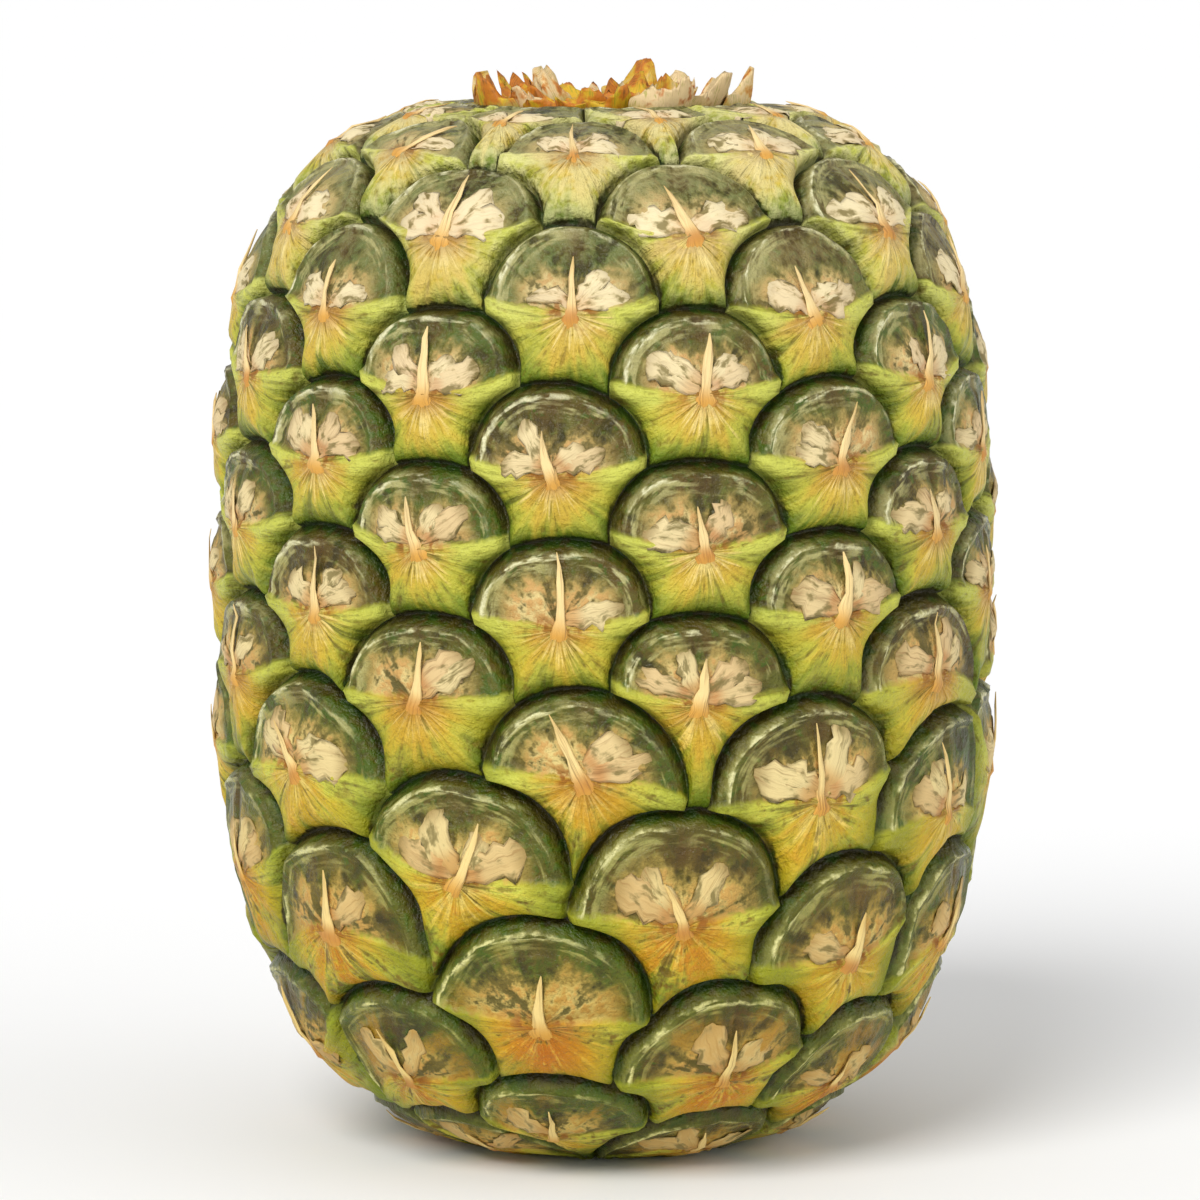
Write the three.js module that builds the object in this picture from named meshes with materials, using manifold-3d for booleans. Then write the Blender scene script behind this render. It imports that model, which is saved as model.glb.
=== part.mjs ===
// A whole pineapple without its crown, standing on its trimmed base.
// Millimetres, +Z up. The origin is the middle of the flat spot that the fruit stands on.
import * as THREE from 'three';
import * as BufferGeometryUtils from 'three/addons/utils/BufferGeometryUtils.js';
import Module from 'manifold-3d';

// ---- Driving dimensions -------------------------------------------------------------------

// The body: a tall round form, squarer at the shoulder than at the base.
const SKIN_RADIUS = 57.9; // at the widest place, between the ridges and the grooves
const WIDEST_HEIGHT = 77;
const TOP_REACH = 80.5; // from the widest place up to the pole of the curve
const TOP_SQUARENESS = 3.5;
const BASE_SQUARENESS = 2.75;

// The places where the eyes stop.
const FOOT_RADIUS = 18.5; // edge of the flat spot
const SCAR_RADIUS = 21; // edge of the scar that the crown leaves

// The eyes: level rings above, larger eyes in falling rows below.
const EYES_PER_RING = 9;
const RINGS = 8;
const FIRST_RING_HEIGHT = 74;
const RING_STEP = 10.9;
const FIRST_RING_ANGLE = 14; // degrees, from the front towards +X
const CROWN_RING_HEIGHT = 154.6; // the last, smallest eyes, round the scar
const NAVEL_DROP = 0.6; // how far an eye's navel sits below the middle of its cell
// The lower eyes all round, as [degrees, height]: first the front and the right, then the rest.
const LOWER_EYES = [
  [-50, 61.5], [-3, 63], [32, 58.7], [60, 54], [87, 57], [111, 54],
  [-21.5, 47.6], [11.5, 41.6], [40.7, 34], [68, 33.5], [100, 38], [-46, 38.1],
  [-10, 26.5], [22, 17.5], [51, 13.5], [82, 15.5], [111, 18.5], [-39, 15.5],
  [-12, 7.2], [27, 3.4], [66, 3.4], [106, 4.4], [-34, 3.4],
  [133, 55], [156.5, 57], [194, 63.5], [238, 57.5], [270, 60.5],
  [135, 31.5], [181, 45], [213, 48], [261, 35.5], [288.5, 43.5],
  [164, 25.5], [200, 23.5], [233.5, 28], [141.5, 9.5], [181, 8.5], [222.5, 9], [259, 11.5],
  [289.5, 16], [158.5, 2.5], [203, 2.5], [247, 2.5], [289.5, 2.5],
];
const WANDER = 1.5; // degrees that an eye of the level rings strays to either side

// The relief of one eye, as height over the skin.
const GROOVE_DEPTH = 2.7;
const RIM_HEIGHT = 0.9; // the ridge just inside the groove, over the navel
const BRACT_EDGE = -0.4; // the same place below the navel, where the bract slopes away
const DOME_HEIGHT = 1.2;
const BRACT_HEIGHT = 0.9;
const NAVEL_TOP = 0.4;
const BRACT_LIP = 1.7;
const RIM_SHARE = 0.84; // of the way from the navel to the cell's border
const DOME_SHARE = 0.52;
const NAVEL_SHARE = 0.2;
const TIP_REACH = 6.5; // how far the bract's dry tip points up over the dome
const TIP_HEIGHT = 2.2;
const BRACT_TOP = -0.5; // sine of the direction from the navel where the bract ends ...
const DOME_BOTTOM = 0.4; // ... and where the dome begins
const GROOVE_FADE = 0.15; // climb over which the grooves run out on the foot
const BORDER_STEP = 9; // longest straight piece of a cell's border
const ARCH_TOP = 0.065; // how far a level side bows up over a dome, as a share of its length
const ARCH_SIDE = 0.32; // how much further a slanting side bows, so that the arch is full

// The crown's scar and the torn stubs of its leaves.
const SCAR_DISH = 1.6; // depth of the scar's middle below its edge
const STUBS = 28;
const FIRST_STUB = 6; // the places nearer the middle are bare
const STUB_SPREAD = 3.6; // the n-th stub's distance from the middle is this times the root of n
const STUB_LENGTHS = [2.5, 6.5]; // shortest and longest, over the scar's edge
const STUB_LEANS = [0.1, 0.7]; // least and greatest, in radians outwards
const STUB_WIDTH = 9;
const STUB_THICKNESS = 4.4;
const STUB_ROOT = 5; // how deep a stub is sunk into the scar
const STUB_TAPER = 0.5; // the top's width as a share of the bottom's
const STUB_SIDES = 5;
const SCAR_FLAT = 0.55; // radius of the scar's middle as a share of the whole
const GOLDEN_ANGLE = Math.PI * (3 - Math.sqrt(5));

// The cut end of the stalk, flush with the flat spot, with a shallow ring groove round it.
const STALK_RADIUS = 9.5;
const RING_GROOVE_DEPTH = 1.0;
const RING_GROOVE_RADIUS = 11.3;
const RING_GROOVE_EDGE = 13;

const DEGREE = Math.PI / 180;

// ---- The body's curve ----------------------------------------------------------------------

// The reach from the widest place down to the curve's pole, so that the foot lies at height 0.
const FOOT_SHARE = FOOT_RADIUS / SKIN_RADIUS;
const BASE_REACH = WIDEST_HEIGHT / (1 - FOOT_SHARE ** BASE_SQUARENESS) ** (1 / BASE_SQUARENESS);

// Points of one half of the curve, from the widest place to an end of the given radius.
function halfCurve(reach, squareness, endRadius) {
  const steps = 1500;
  const endTurn = Math.acos((endRadius / SKIN_RADIUS) ** (squareness / 2));
  const points = [];
  for (let i = 0; i <= steps; i += 1) {
    const turn = (endTurn * i) / steps;
    points.push({
      r: SKIN_RADIUS * Math.cos(turn) ** (2 / squareness),
      z: WIDEST_HEIGHT + reach * Math.sin(turn) ** (2 / squareness),
    });
  }
  return points;
}

// The curve from the foot to the scar. Each station holds the radius, the height, the outward
// direction and the "climb": the length along the curve measured in local radii. With the angle
// round the fruit, the climb makes a flat chart that keeps shapes, so an eye can be laid out in it.
function bodyCurve() {
  const lower = halfCurve(-BASE_REACH, BASE_SQUARENESS, FOOT_RADIUS).reverse();
  const upper = halfCurve(TOP_REACH, TOP_SQUARENESS, SCAR_RADIUS).slice(1);
  const points = [...lower, ...upper];
  let climb = 0;
  return points.map((point, i) => {
    const before = points[Math.max(i - 1, 0)];
    const after = points[Math.min(i + 1, points.length - 1)];
    const slope = Math.hypot(after.r - before.r, after.z - before.z);
    if (i > 0) {
      climb += Math.hypot(point.r - before.r, point.z - before.z) / ((point.r + before.r) / 2);
    }
    return {
      r: point.r,
      z: point.z,
      outR: (after.z - before.z) / slope,
      outZ: -(after.r - before.r) / slope,
      climb,
    };
  });
}

const CURVE = bodyCurve();
const FOOT_EDGE = CURVE[0];
const SCAR_EDGE = CURVE[CURVE.length - 1];

// The station at a value of one of its rising fields, found by halving and mixed in between.
function stationAt(field, value) {
  let low = 0;
  let high = CURVE.length - 1;
  while (high - low > 1) {
    const middle = (low + high) >> 1;
    if (CURVE[middle][field] > value) high = middle;
    else low = middle;
  }
  const [a, b] = [CURVE[low], CURVE[high]];
  const share = THREE.MathUtils.clamp((value - a[field]) / (b[field] - a[field]), 0, 1);
  const mix = (name) => a[name] + (b[name] - a[name]) * share;
  return { r: mix('r'), z: mix('z'), outR: mix('outR'), outZ: mix('outZ'), climb: mix('climb') };
}

// A point of the chart, lifted off the skin by a height, as x, y, z. Angle 0 faces -Y.
function skinPoint(angle, climb, height) {
  const at = stationAt('climb', climb);
  const r = at.r + at.outR * height;
  return [r * Math.sin(angle), -r * Math.cos(angle), Math.max(at.z + at.outZ * height, 0)];
}

// ---- Where the eyes sit --------------------------------------------------------------------

// Repeatable random numbers from 0 to 1.
function seededRandom(seed) {
  let state = seed;
  return () => {
    state = (state * 1664525 + 1013904223) % 4294967296;
    return state / 4294967296;
  };
}

// The middle of every eye's cell, in chart coordinates.
function eyeMiddles() {
  const random = seededRandom(7);
  const middles = [];
  const add = (degrees, height) => {
    const at = stationAt('z', height);
    middles.push({ angle: degrees * DEGREE, climb: at.climb + NAVEL_DROP / at.r, scale: at.r });
  };
  for (const [degrees, height] of LOWER_EYES) add(degrees, height);
  const ringTurn = 360 / EYES_PER_RING;
  for (let ring = 0; ring <= RINGS; ring += 1) {
    const height = ring < RINGS ? FIRST_RING_HEIGHT + ring * RING_STEP : CROWN_RING_HEIGHT;
    const start = FIRST_RING_ANGLE + (ring % 2) * (ringTurn / 2);
    for (let i = 0; i < EYES_PER_RING; i += 1) {
      const stray = (random() * 2 - 1) * WANDER;
      add(start + i * ringTurn + stray, height + stray / 3);
    }
  }
  return middles;
}

// ---- The eyes' cells -----------------------------------------------------------------------

// Cuts a cell by the line half-way to another eye, keeping the side of its own middle.
function cutCell(cell, own, other, neighbour) {
  const dx = other.x - own.x;
  const dy = other.y - own.y;
  const limit = (other.x ** 2 - own.x ** 2 + other.y ** 2 - own.y ** 2) / 2;
  return cutByLine(cell, dx, dy, limit, neighbour);
}

// Cuts a cell by the line dx * x + dy * y = limit. Each corner remembers the neighbour across the
// side that starts there.
function cutByLine(cell, dx, dy, limit, neighbour) {
  const kept = [];
  cell.forEach((corner, i) => {
    const next = cell[(i + 1) % cell.length];
    const here = dx * corner.x + dy * corner.y - limit;
    const there = dx * next.x + dy * next.y - limit;
    const share = here / (here - there);
    const crossing = {
      x: corner.x + (next.x - corner.x) * share,
      y: corner.y + (next.y - corner.y) * share,
    };
    if (here <= 0) kept.push(corner);
    if (here <= 0 && there > 0) kept.push({ ...crossing, across: neighbour });
    if (here > 0 && there <= 0) kept.push({ ...crossing, across: corner.across });
  });
  return kept;
}

// The cell of one eye: everything nearer to it than to any other eye, as a list of corners.
function eyeCell(middles, index) {
  const own = { x: middles[index].angle, y: middles[index].climb };
  const reach = 1.4; // radians; no cell is wider
  let cell = [
    { x: own.x - reach, y: FOOT_EDGE.climb, across: 'foot' },
    { x: own.x + reach, y: FOOT_EDGE.climb, across: 'side' },
    { x: own.x + reach, y: SCAR_EDGE.climb, across: 'scar' },
    { x: own.x - reach, y: SCAR_EDGE.climb, across: 'side' },
  ];
  middles.forEach((middle, i) => {
    if (i === index) return;
    const turn = Math.PI * 2;
    const x = middle.angle - Math.round((middle.angle - own.x) / turn) * turn;
    if (Math.abs(x - own.x) > 2 * reach) return;
    cell = cutCell(cell, own, { x, y: middle.climb }, `eye${i}`);
  });
  return cell;
}

// ---- The skin's mesh -----------------------------------------------------------------------

// Vertices and triangles of a mesh under construction, with the vertices that cells share.
function newMesh() {
  const points = [];
  const faces = [];
  const shared = new Map();
  return {
    points,
    faces,
    footEdge: new Set(),
    scarEdge: new Set(),
    add(point) {
      points.push(point);
      return points.length - 1;
    },
    share(key, makePoint) {
      if (!shared.has(key)) shared.set(key, this.add(makePoint()));
      return shared.get(key);
    },
  };
}

// The strip of triangles between two closed rings of equally many vertices, both running
// anticlockwise seen from outside, the outer ring first.
function addStrip(mesh, outer, inner) {
  outer.forEach((a, i) => {
    const j = (i + 1) % outer.length;
    mesh.faces.push([a, outer[j], inner[i]], [outer[j], inner[j], inner[i]]);
  });
}

function addFan(mesh, ring, tip) {
  ring.forEach((a, i) => mesh.faces.push([a, ring[(i + 1) % ring.length], tip]));
}

// The height of the skin's border: the groove, which fades out on the foot.
function borderHeight(climb) {
  const offFoot = THREE.MathUtils.smoothstep(climb, FOOT_EDGE.climb, FOOT_EDGE.climb + GROOVE_FADE);
  return -GROOVE_DEPTH * offFoot * (climb < SCAR_EDGE.climb ? 1 : 0);
}

// How a side of a cell bows, as a step in the chart: up, away from the lower of its two eyes, so
// that the groove arches over that eye's dome. The sides on the two ends stay straight.
function sideBow(middles, index, side, length) {
  if (side === 'foot' || side === 'scar') return { x: 0, y: 0 };
  const own = middles[index];
  const other = middles[Number(side.slice(3))];
  const turn = Math.PI * 2;
  const dx = other.angle - own.angle - Math.round((other.angle - own.angle) / turn) * turn;
  const dy = other.climb - own.climb;
  const distance = Math.hypot(dx, dy);
  const bow = (length * dy * ((ARCH_SIDE * Math.abs(dx)) / distance + ARCH_TOP)) / distance ** 2;
  return { x: dx * bow, y: dy * bow };
}

// The border of a cell as shared vertices with their chart places: its corners, and points
// between them so that no straight piece is longer than BORDER_STEP.
function cellBorder(mesh, middles, index) {
  const border = [];
  const cell = eyeCell(middles, index);
  const own = `eye${index}`;
  cell.forEach((corner, i) => {
    const next = cell[(i + 1) % cell.length];
    const before = cell[(i + cell.length - 1) % cell.length];
    const radius = stationAt('climb', (corner.y + next.y) / 2).r;
    const length = Math.hypot(next.x - corner.x, next.y - corner.y);
    const pieces = Math.max(1, Math.ceil((length * radius) / BORDER_STEP));
    const bow = sideBow(middles, index, corner.across, length);
    for (let k = 0; k < pieces; k += 1) {
      const share = k / pieces;
      const bend = 4 * share * (1 - share);
      const x = corner.x + (next.x - corner.x) * share + bow.x * bend;
      const y = corner.y + (next.y - corner.y) * share + bow.y * bend;
      const sides = k === 0 ? [own, before.across, corner.across] : [own, corner.across];
      const step = own < corner.across ? k : pieces - k;
      const key = k === 0 ? sides.sort().join() : `${sides.sort().join()}:${step}`;
      const vertex = mesh.share(key, () => skinPoint(x, y, borderHeight(y)));
      if (y === FOOT_EDGE.climb) mesh.footEdge.add(vertex);
      if (y === SCAR_EDGE.climb) mesh.scarEdge.add(vertex);
      border.push({ x, y, vertex });
    }
  });
  return border;
}

// One ring of vertices inside a cell, at a share of the way from the navel to the border. Its
// height is `above` over the navel and `below` under it.
function innerRing(mesh, border, navel, share, above, below) {
  return border.map((point) => {
    const x = navel.x + (point.x - navel.x) * share;
    const y = navel.y + (point.y - navel.y) * share;
    const rise = (point.y - navel.y) / Math.hypot(point.x - navel.x, point.y - navel.y);
    const mix = THREE.MathUtils.smoothstep(rise, BRACT_TOP, DOME_BOTTOM);
    return mesh.add(skinPoint(x, y, THREE.MathUtils.lerp(below, above, mix) * navel.size));
  });
}

// One eye: the groove round it, the rim and dome over the navel, the bract under it, and the
// bract's dry tip, which rises from the navel and points up over the dome.
function addEye(mesh, middles, index) {
  const middle = middles[index];
  const border = cellBorder(mesh, middles, index);
  const size = Math.sqrt(middle.scale / SKIN_RADIUS);
  const navel = { x: middle.angle, y: middle.climb - NAVEL_DROP / middle.scale, size };
  const rim = innerRing(mesh, border, navel, RIM_SHARE, RIM_HEIGHT, BRACT_EDGE);
  const dome = innerRing(mesh, border, navel, DOME_SHARE, DOME_HEIGHT, BRACT_HEIGHT);
  const collar = innerRing(mesh, border, navel, NAVEL_SHARE, NAVEL_TOP, BRACT_LIP);
  const tipClimb = navel.y + (TIP_REACH * size) / middle.scale;
  const tip = mesh.add(skinPoint(navel.x, tipClimb, TIP_HEIGHT * size));
  addStrip(mesh, border.map((point) => point.vertex), rim);
  addStrip(mesh, rim, dome);
  addStrip(mesh, dome, collar);
  addFan(mesh, collar, tip);
}

// ---- The two ends --------------------------------------------------------------------------

// The shared vertices on the edge of one end, in order round the fruit towards +X from the front.
function endRing(mesh, edge) {
  const angle = (i) => Math.atan2(mesh.points[i][0], -mesh.points[i][1]);
  return [...edge].sort((a, b) => angle(a) - angle(b));
}

// A ring with the same angles as another, at a radius and height of its own.
function copyRing(mesh, ring, radius, height) {
  return ring.map((i) => {
    const [x, y] = mesh.points[i];
    const scale = radius / Math.hypot(x, y);
    return mesh.add([x * scale, y * scale, height]);
  });
}

// The flat spot, with the ring groove and the flush end of the stalk.
function addFoot(mesh) {
  let outer = endRing(mesh, mesh.footEdge).reverse();
  const rings = [
    [RING_GROOVE_EDGE, 0],
    [RING_GROOVE_RADIUS, RING_GROOVE_DEPTH],
    [STALK_RADIUS, 0],
  ];
  for (const [radius, height] of rings) {
    const inner = copyRing(mesh, outer, radius, height);
    addStrip(mesh, outer, inner);
    outer = inner;
  }
  addFan(mesh, outer, mesh.add([0, 0, 0]));
}

// The dished scar under the crown.
function addScar(mesh) {
  const edge = endRing(mesh, mesh.scarEdge);
  const inner = copyRing(mesh, edge, SCAR_RADIUS * SCAR_FLAT, SCAR_EDGE.z - SCAR_DISH);
  addStrip(mesh, edge, inner);
  addFan(mesh, inner, mesh.add([0, 0, SCAR_EDGE.z - SCAR_DISH]));
}

// The geometry of a finished mesh.
function toGeometry(mesh) {
  const geometry = new THREE.BufferGeometry();
  geometry.setAttribute('position', new THREE.Float32BufferAttribute(mesh.points.flat(), 3));
  geometry.setIndex(mesh.faces.flat());
  return geometry;
}

// ---- The torn stubs of the crown's leaves ----------------------------------------------------

// One stub: a short blunt wedge, wide round the scar and thin outwards, sunk into the scar.
function stubGeometry(length, lean) {
  const whole = length + STUB_ROOT;
  const geometry = new THREE.CylinderGeometry(STUB_TAPER, 1, whole, STUB_SIDES);
  geometry.translate(0, whole / 2 - STUB_ROOT, 0);
  geometry.scale(STUB_WIDTH / 2, 1, STUB_THICKNESS / 2);
  geometry.rotateX(Math.PI / 2 - lean);
  return geometry;
}

// All stubs, spread as leaves grow, each a golden angle on from the last, torn and bent at random.
function stubGeometries() {
  const random = seededRandom(19);
  const stubs = [];
  for (let n = FIRST_STUB; n < FIRST_STUB + STUBS; n += 1) {
    const length = THREE.MathUtils.lerp(...STUB_LENGTHS, random());
    const stub = stubGeometry(length, THREE.MathUtils.lerp(...STUB_LEANS, random()));
    stub.translate(0, -STUB_SPREAD * Math.sqrt(n), SCAR_EDGE.z);
    stub.rotateZ(n * GOLDEN_ANGLE);
    stubs.push(stub);
  }
  return stubs;
}

// ---- Assembly --------------------------------------------------------------------------------

const wasm = await Module();
wasm.setup();

// A closed geometry as a solid.
function toSolid(geometry) {
  const bare = new THREE.BufferGeometry();
  bare.setAttribute('position', geometry.getAttribute('position'));
  bare.setIndex(geometry.getIndex());
  const merged = BufferGeometryUtils.mergeVertices(bare);
  const vertProperties = new Float32Array(merged.getAttribute('position').array);
  const triVerts = new Uint32Array(merged.getIndex().array);
  return new wasm.Manifold(new wasm.Mesh({ numProp: 3, vertProperties, triVerts }));
}

// A solid's outside as a geometry.
function fromSolid(solid) {
  const { vertProperties, triVerts } = solid.getMesh();
  const geometry = new THREE.BufferGeometry();
  geometry.setAttribute('position', new THREE.BufferAttribute(vertProperties, 3));
  geometry.setIndex(new THREE.BufferAttribute(triVerts, 1));
  return geometry;
}

// The whole fruit: its skin of eyes, the two ends, and the stubs fused to the scar.
function fruitGeometry() {
  const skin = newMesh();
  const middles = eyeMiddles();
  middles.forEach((middle, index) => addEye(skin, middles, index));
  addFoot(skin);
  addScar(skin);
  const body = toSolid(toGeometry(skin));
  const solid = stubGeometries().map(toSolid).reduce((sum, stub) => sum.add(stub), body);
  return fromSolid(solid);
}

const fruitMaterial = new THREE.MeshStandardMaterial({
  color: 0xa39a4a,
  roughness: 0.5,
  metalness: 0,
});
const fruit = new THREE.Mesh(fruitGeometry(), fruitMaterial);
fruit.name = 'fruit';

const pineapple = new THREE.Group();
pineapple.add(fruit);

export default pineapple;
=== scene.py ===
# %% [markdown]
# # A pineapple, dressed for its picture
#
# The fruit arrives as one plain solid, already the right size and in the right place. This lesson
# gives it the finish that it has on a market stall: a rind of 126 eyes, each with a glossy dome,
# a pale two-lobed middle, a bract with a dry pointed tip, and dark grooves between them.
# We work in metres, with Z up and the front of the fruit facing -Y.

# %% Load the frame
import math
import random
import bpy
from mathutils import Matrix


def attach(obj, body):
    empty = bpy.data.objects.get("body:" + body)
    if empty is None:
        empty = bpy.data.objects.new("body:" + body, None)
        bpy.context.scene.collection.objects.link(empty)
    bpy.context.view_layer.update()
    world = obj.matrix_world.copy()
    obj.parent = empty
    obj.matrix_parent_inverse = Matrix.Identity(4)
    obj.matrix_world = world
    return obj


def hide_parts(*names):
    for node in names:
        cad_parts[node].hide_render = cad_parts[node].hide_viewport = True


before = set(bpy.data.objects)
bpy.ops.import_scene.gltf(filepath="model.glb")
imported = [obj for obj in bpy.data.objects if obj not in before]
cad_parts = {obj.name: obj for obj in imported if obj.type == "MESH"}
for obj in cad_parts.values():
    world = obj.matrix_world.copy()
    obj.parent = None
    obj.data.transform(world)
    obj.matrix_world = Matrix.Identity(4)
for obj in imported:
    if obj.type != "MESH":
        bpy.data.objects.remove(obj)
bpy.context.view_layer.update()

from types import SimpleNamespace

import bpy
import numpy as np
from mathutils.noise import noise as smooth_noise

MM = 0.001
BODY = "root"

# %% [markdown]
# ## The camera
# A long lens far away keeps the sides of a round object honest. The fruit is seen from seven
# degrees above level, so its rows of eyes look straight and a little of its top shows. The camera
# is set first, because everything later is judged through it.

# %% Place the camera
VIEW_DISTANCE = 0.9
VIEW_ELEVATION = math.radians(7)
VIEW_TARGET = (-0.0006, 0.0, 0.0818)
VIEW_SPAN = 0.182  # what the square picture takes in at the fruit's axis
SENSOR = 36.0

back = VIEW_DISTANCE * math.cos(VIEW_ELEVATION)
up = VIEW_DISTANCE * math.sin(VIEW_ELEVATION)
camera_place = (VIEW_TARGET[0], VIEW_TARGET[1] - back, VIEW_TARGET[2] + up)
camera_turn = (math.pi / 2 - VIEW_ELEVATION, 0.0, 0.0)
bpy.ops.object.select_all(action="DESELECT")
bpy.ops.object.camera_add(location=camera_place, rotation=camera_turn)
camera = bpy.context.object
camera.name = "camera"
camera.data.sensor_width = SENSOR
camera.data.lens = SENSOR * VIEW_DISTANCE / VIEW_SPAN
camera.data.clip_start = 0.05
bpy.context.scene.camera = camera
print("the lens is", round(camera.data.lens), "mm")

# %% [markdown]
# ## The body's curve
# A pineapple is a turned form: one upright curve, swept round. Two quarters of a superellipse
# meet at the widest place, the upper one squarer than the lower one. Besides its place, each
# station of the curve gets a "climb", its length measured in local radii. Angle and climb
# together make a flat chart of the rind that keeps small shapes true, so that the eyes can be
# laid out on it as on paper.

# %% Draw the body's curve
SKIN_RADIUS = 57.9 * MM
WIDEST_HEIGHT = 77 * MM
TOP_REACH = 80.5 * MM
TOP_SQUARENESS = 3.5
BASE_SQUARENESS = 2.75
FOOT_RADIUS = 18.5 * MM
SCAR_RADIUS = 21 * MM
foot_share = (FOOT_RADIUS / SKIN_RADIUS) ** BASE_SQUARENESS
BASE_REACH = WIDEST_HEIGHT / (1 - foot_share) ** (1 / BASE_SQUARENESS)
CURVE_STEPS = 1500


def half_curve(reach, squareness, end_radius):
    """Radius and height from the widest place to an end of the given radius."""
    end_turn = math.acos((end_radius / SKIN_RADIUS) ** (squareness / 2))
    turns = np.linspace(0, end_turn, CURVE_STEPS + 1)
    radius = SKIN_RADIUS * np.cos(turns) ** (2 / squareness)
    height = WIDEST_HEIGHT + reach * np.sin(turns) ** (2 / squareness)
    return radius, height


lower_r, lower_z = half_curve(-BASE_REACH, BASE_SQUARENESS, FOOT_RADIUS)
upper_r, upper_z = half_curve(TOP_REACH, TOP_SQUARENESS, SCAR_RADIUS)
curve_r = np.concatenate([lower_r[::-1], upper_r[1:]])
curve_z = np.concatenate([lower_z[::-1], upper_z[1:]])
step_length = np.hypot(np.diff(curve_r), np.diff(curve_z))
step_radius = (curve_r[1:] + curve_r[:-1]) / 2
curve_climb = np.concatenate([[0], np.cumsum(step_length / step_radius)])
slope_r, slope_z = np.gradient(curve_r), np.gradient(curve_z)
slope = np.hypot(slope_r, slope_z)
curve_out_r, curve_out_z = slope_z / slope, -slope_r / slope
SCAR_CLIMB = float(curve_climb[-1])
SCAR_HEIGHT = float(curve_z[-1])


def radius_at(climb):
    return np.interp(climb, curve_climb, curve_r)


def skin_points(angle, climb, lift):
    """Places on the rind for arrays of angles and climbs, lifted off it; angle 0 faces -Y."""
    r = radius_at(climb) + np.interp(climb, curve_climb, curve_out_r) * lift
    z = np.interp(climb, curve_climb, curve_z) + np.interp(climb, curve_climb, curve_out_z) * lift
    return np.stack([r * np.sin(angle), -r * np.cos(angle), np.maximum(z, 0)], axis=-1)


print("the chart climbs to", round(SCAR_CLIMB, 3))

# %% [markdown]
# ## Where the eyes sit
# Over most of this fruit the eyes stand in level rings of nine, each ring half a step round from
# the one below. Lower down the rows tilt and the eyes grow larger, so those are placed one by one:
# first the front and the right, then the rest. It is the layout of the solid once more, wandering
# numbers and all, so the fine rind keeps the solid's form.

# %% List the eyes
EYES_PER_RING = 9
RINGS = 8
FIRST_RING_HEIGHT = 74
RING_STEP = 10.9
FIRST_RING_ANGLE = 14
CROWN_RING_HEIGHT = 154.6
NAVEL_DROP = 0.6 * MM  # how far an eye's navel sits below the middle of its cell
LOWER_EYES = [  # degrees round from the front, height in millimetres
    (-50, 61.5), (-3, 63), (32, 58.7), (60, 54), (87, 57), (111, 54),
    (-21.5, 47.6), (11.5, 41.6), (40.7, 34), (68, 33.5), (100, 38), (-46, 38.1),
    (-10, 26.5), (22, 17.5), (51, 13.5), (82, 15.5), (111, 18.5), (-39, 15.5),
    (-12, 7.2), (27, 3.4), (66, 3.4), (106, 4.4), (-34, 3.4),
    (133, 55), (156.5, 57), (194, 63.5), (238, 57.5), (270, 60.5),
    (135, 31.5), (181, 45), (213, 48), (261, 35.5), (288.5, 43.5),
    (164, 25.5), (200, 23.5), (233.5, 28), (141.5, 9.5), (181, 8.5), (222.5, 9), (259, 11.5),
    (289.5, 16), (158.5, 2.5), (203, 2.5), (247, 2.5), (289.5, 2.5),
]
WANDER = 1.5  # degrees that an eye of a ring may stray, and a third as many millimetres of height


def stray_numbers(seed):
    """The same repeatable numbers from 0 to 1 that the solid's layout uses."""
    state = seed
    while True:
        state = (state * 1664525 + 1013904223) % 4294967296
        yield state / 4294967296


def eye_middles():
    """The middle of every eye's cell: angle, climb, and the radius there."""
    middles = []

    def add(degrees, height):
        climb = float(np.interp(height * MM, curve_z, curve_climb))
        scale = float(radius_at(climb))
        middles.append((math.radians(degrees), climb + NAVEL_DROP / scale, scale))

    for degrees, height in LOWER_EYES:
        add(degrees, height)
    strays = stray_numbers(7)
    ring_turn = 360 / EYES_PER_RING
    for ring in range(RINGS + 1):
        height = FIRST_RING_HEIGHT + ring * RING_STEP if ring < RINGS else CROWN_RING_HEIGHT
        start = FIRST_RING_ANGLE + (ring % 2) * ring_turn / 2
        for i in range(EYES_PER_RING):
            stray = (next(strays) * 2 - 1) * WANDER
            add(start + i * ring_turn + stray, height + stray / 3)
    return middles


middles = eye_middles()
print("eyes:", len(middles))

# %% [markdown]
# ## A cell for each eye
# Each eye owns the part of the chart that is nearer to it than to any other eye. We start from a
# wide strip and cut it by the line half-way to each neighbour, which leaves a lopsided hexagon.
# Every corner remembers who lies across the side that starts there, so two neighbours can share
# the very same border points, and the rind stays closed.

# %% Cut the cells
CELL_REACH = 1.4  # half the width of the first strip, in the chart's units


def cut_cell(cell, dx, dy, limit, neighbour):
    """Keeps what lies below the line dx * x + dy * y = limit. A corner is (x, y, across)."""
    kept = []
    for (x, y, across), (next_x, next_y, _) in zip(cell, cell[1:] + cell[:1]):
        here = dx * x + dy * y - limit
        there = dx * next_x + dy * next_y - limit
        if here <= 0:
            kept.append((x, y, across))
        if (here <= 0) != (there <= 0):
            share = here / (here - there)
            crossing = (x + (next_x - x) * share, y + (next_y - y) * share)
            kept.append((*crossing, neighbour if here <= 0 else across))
    return kept


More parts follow.
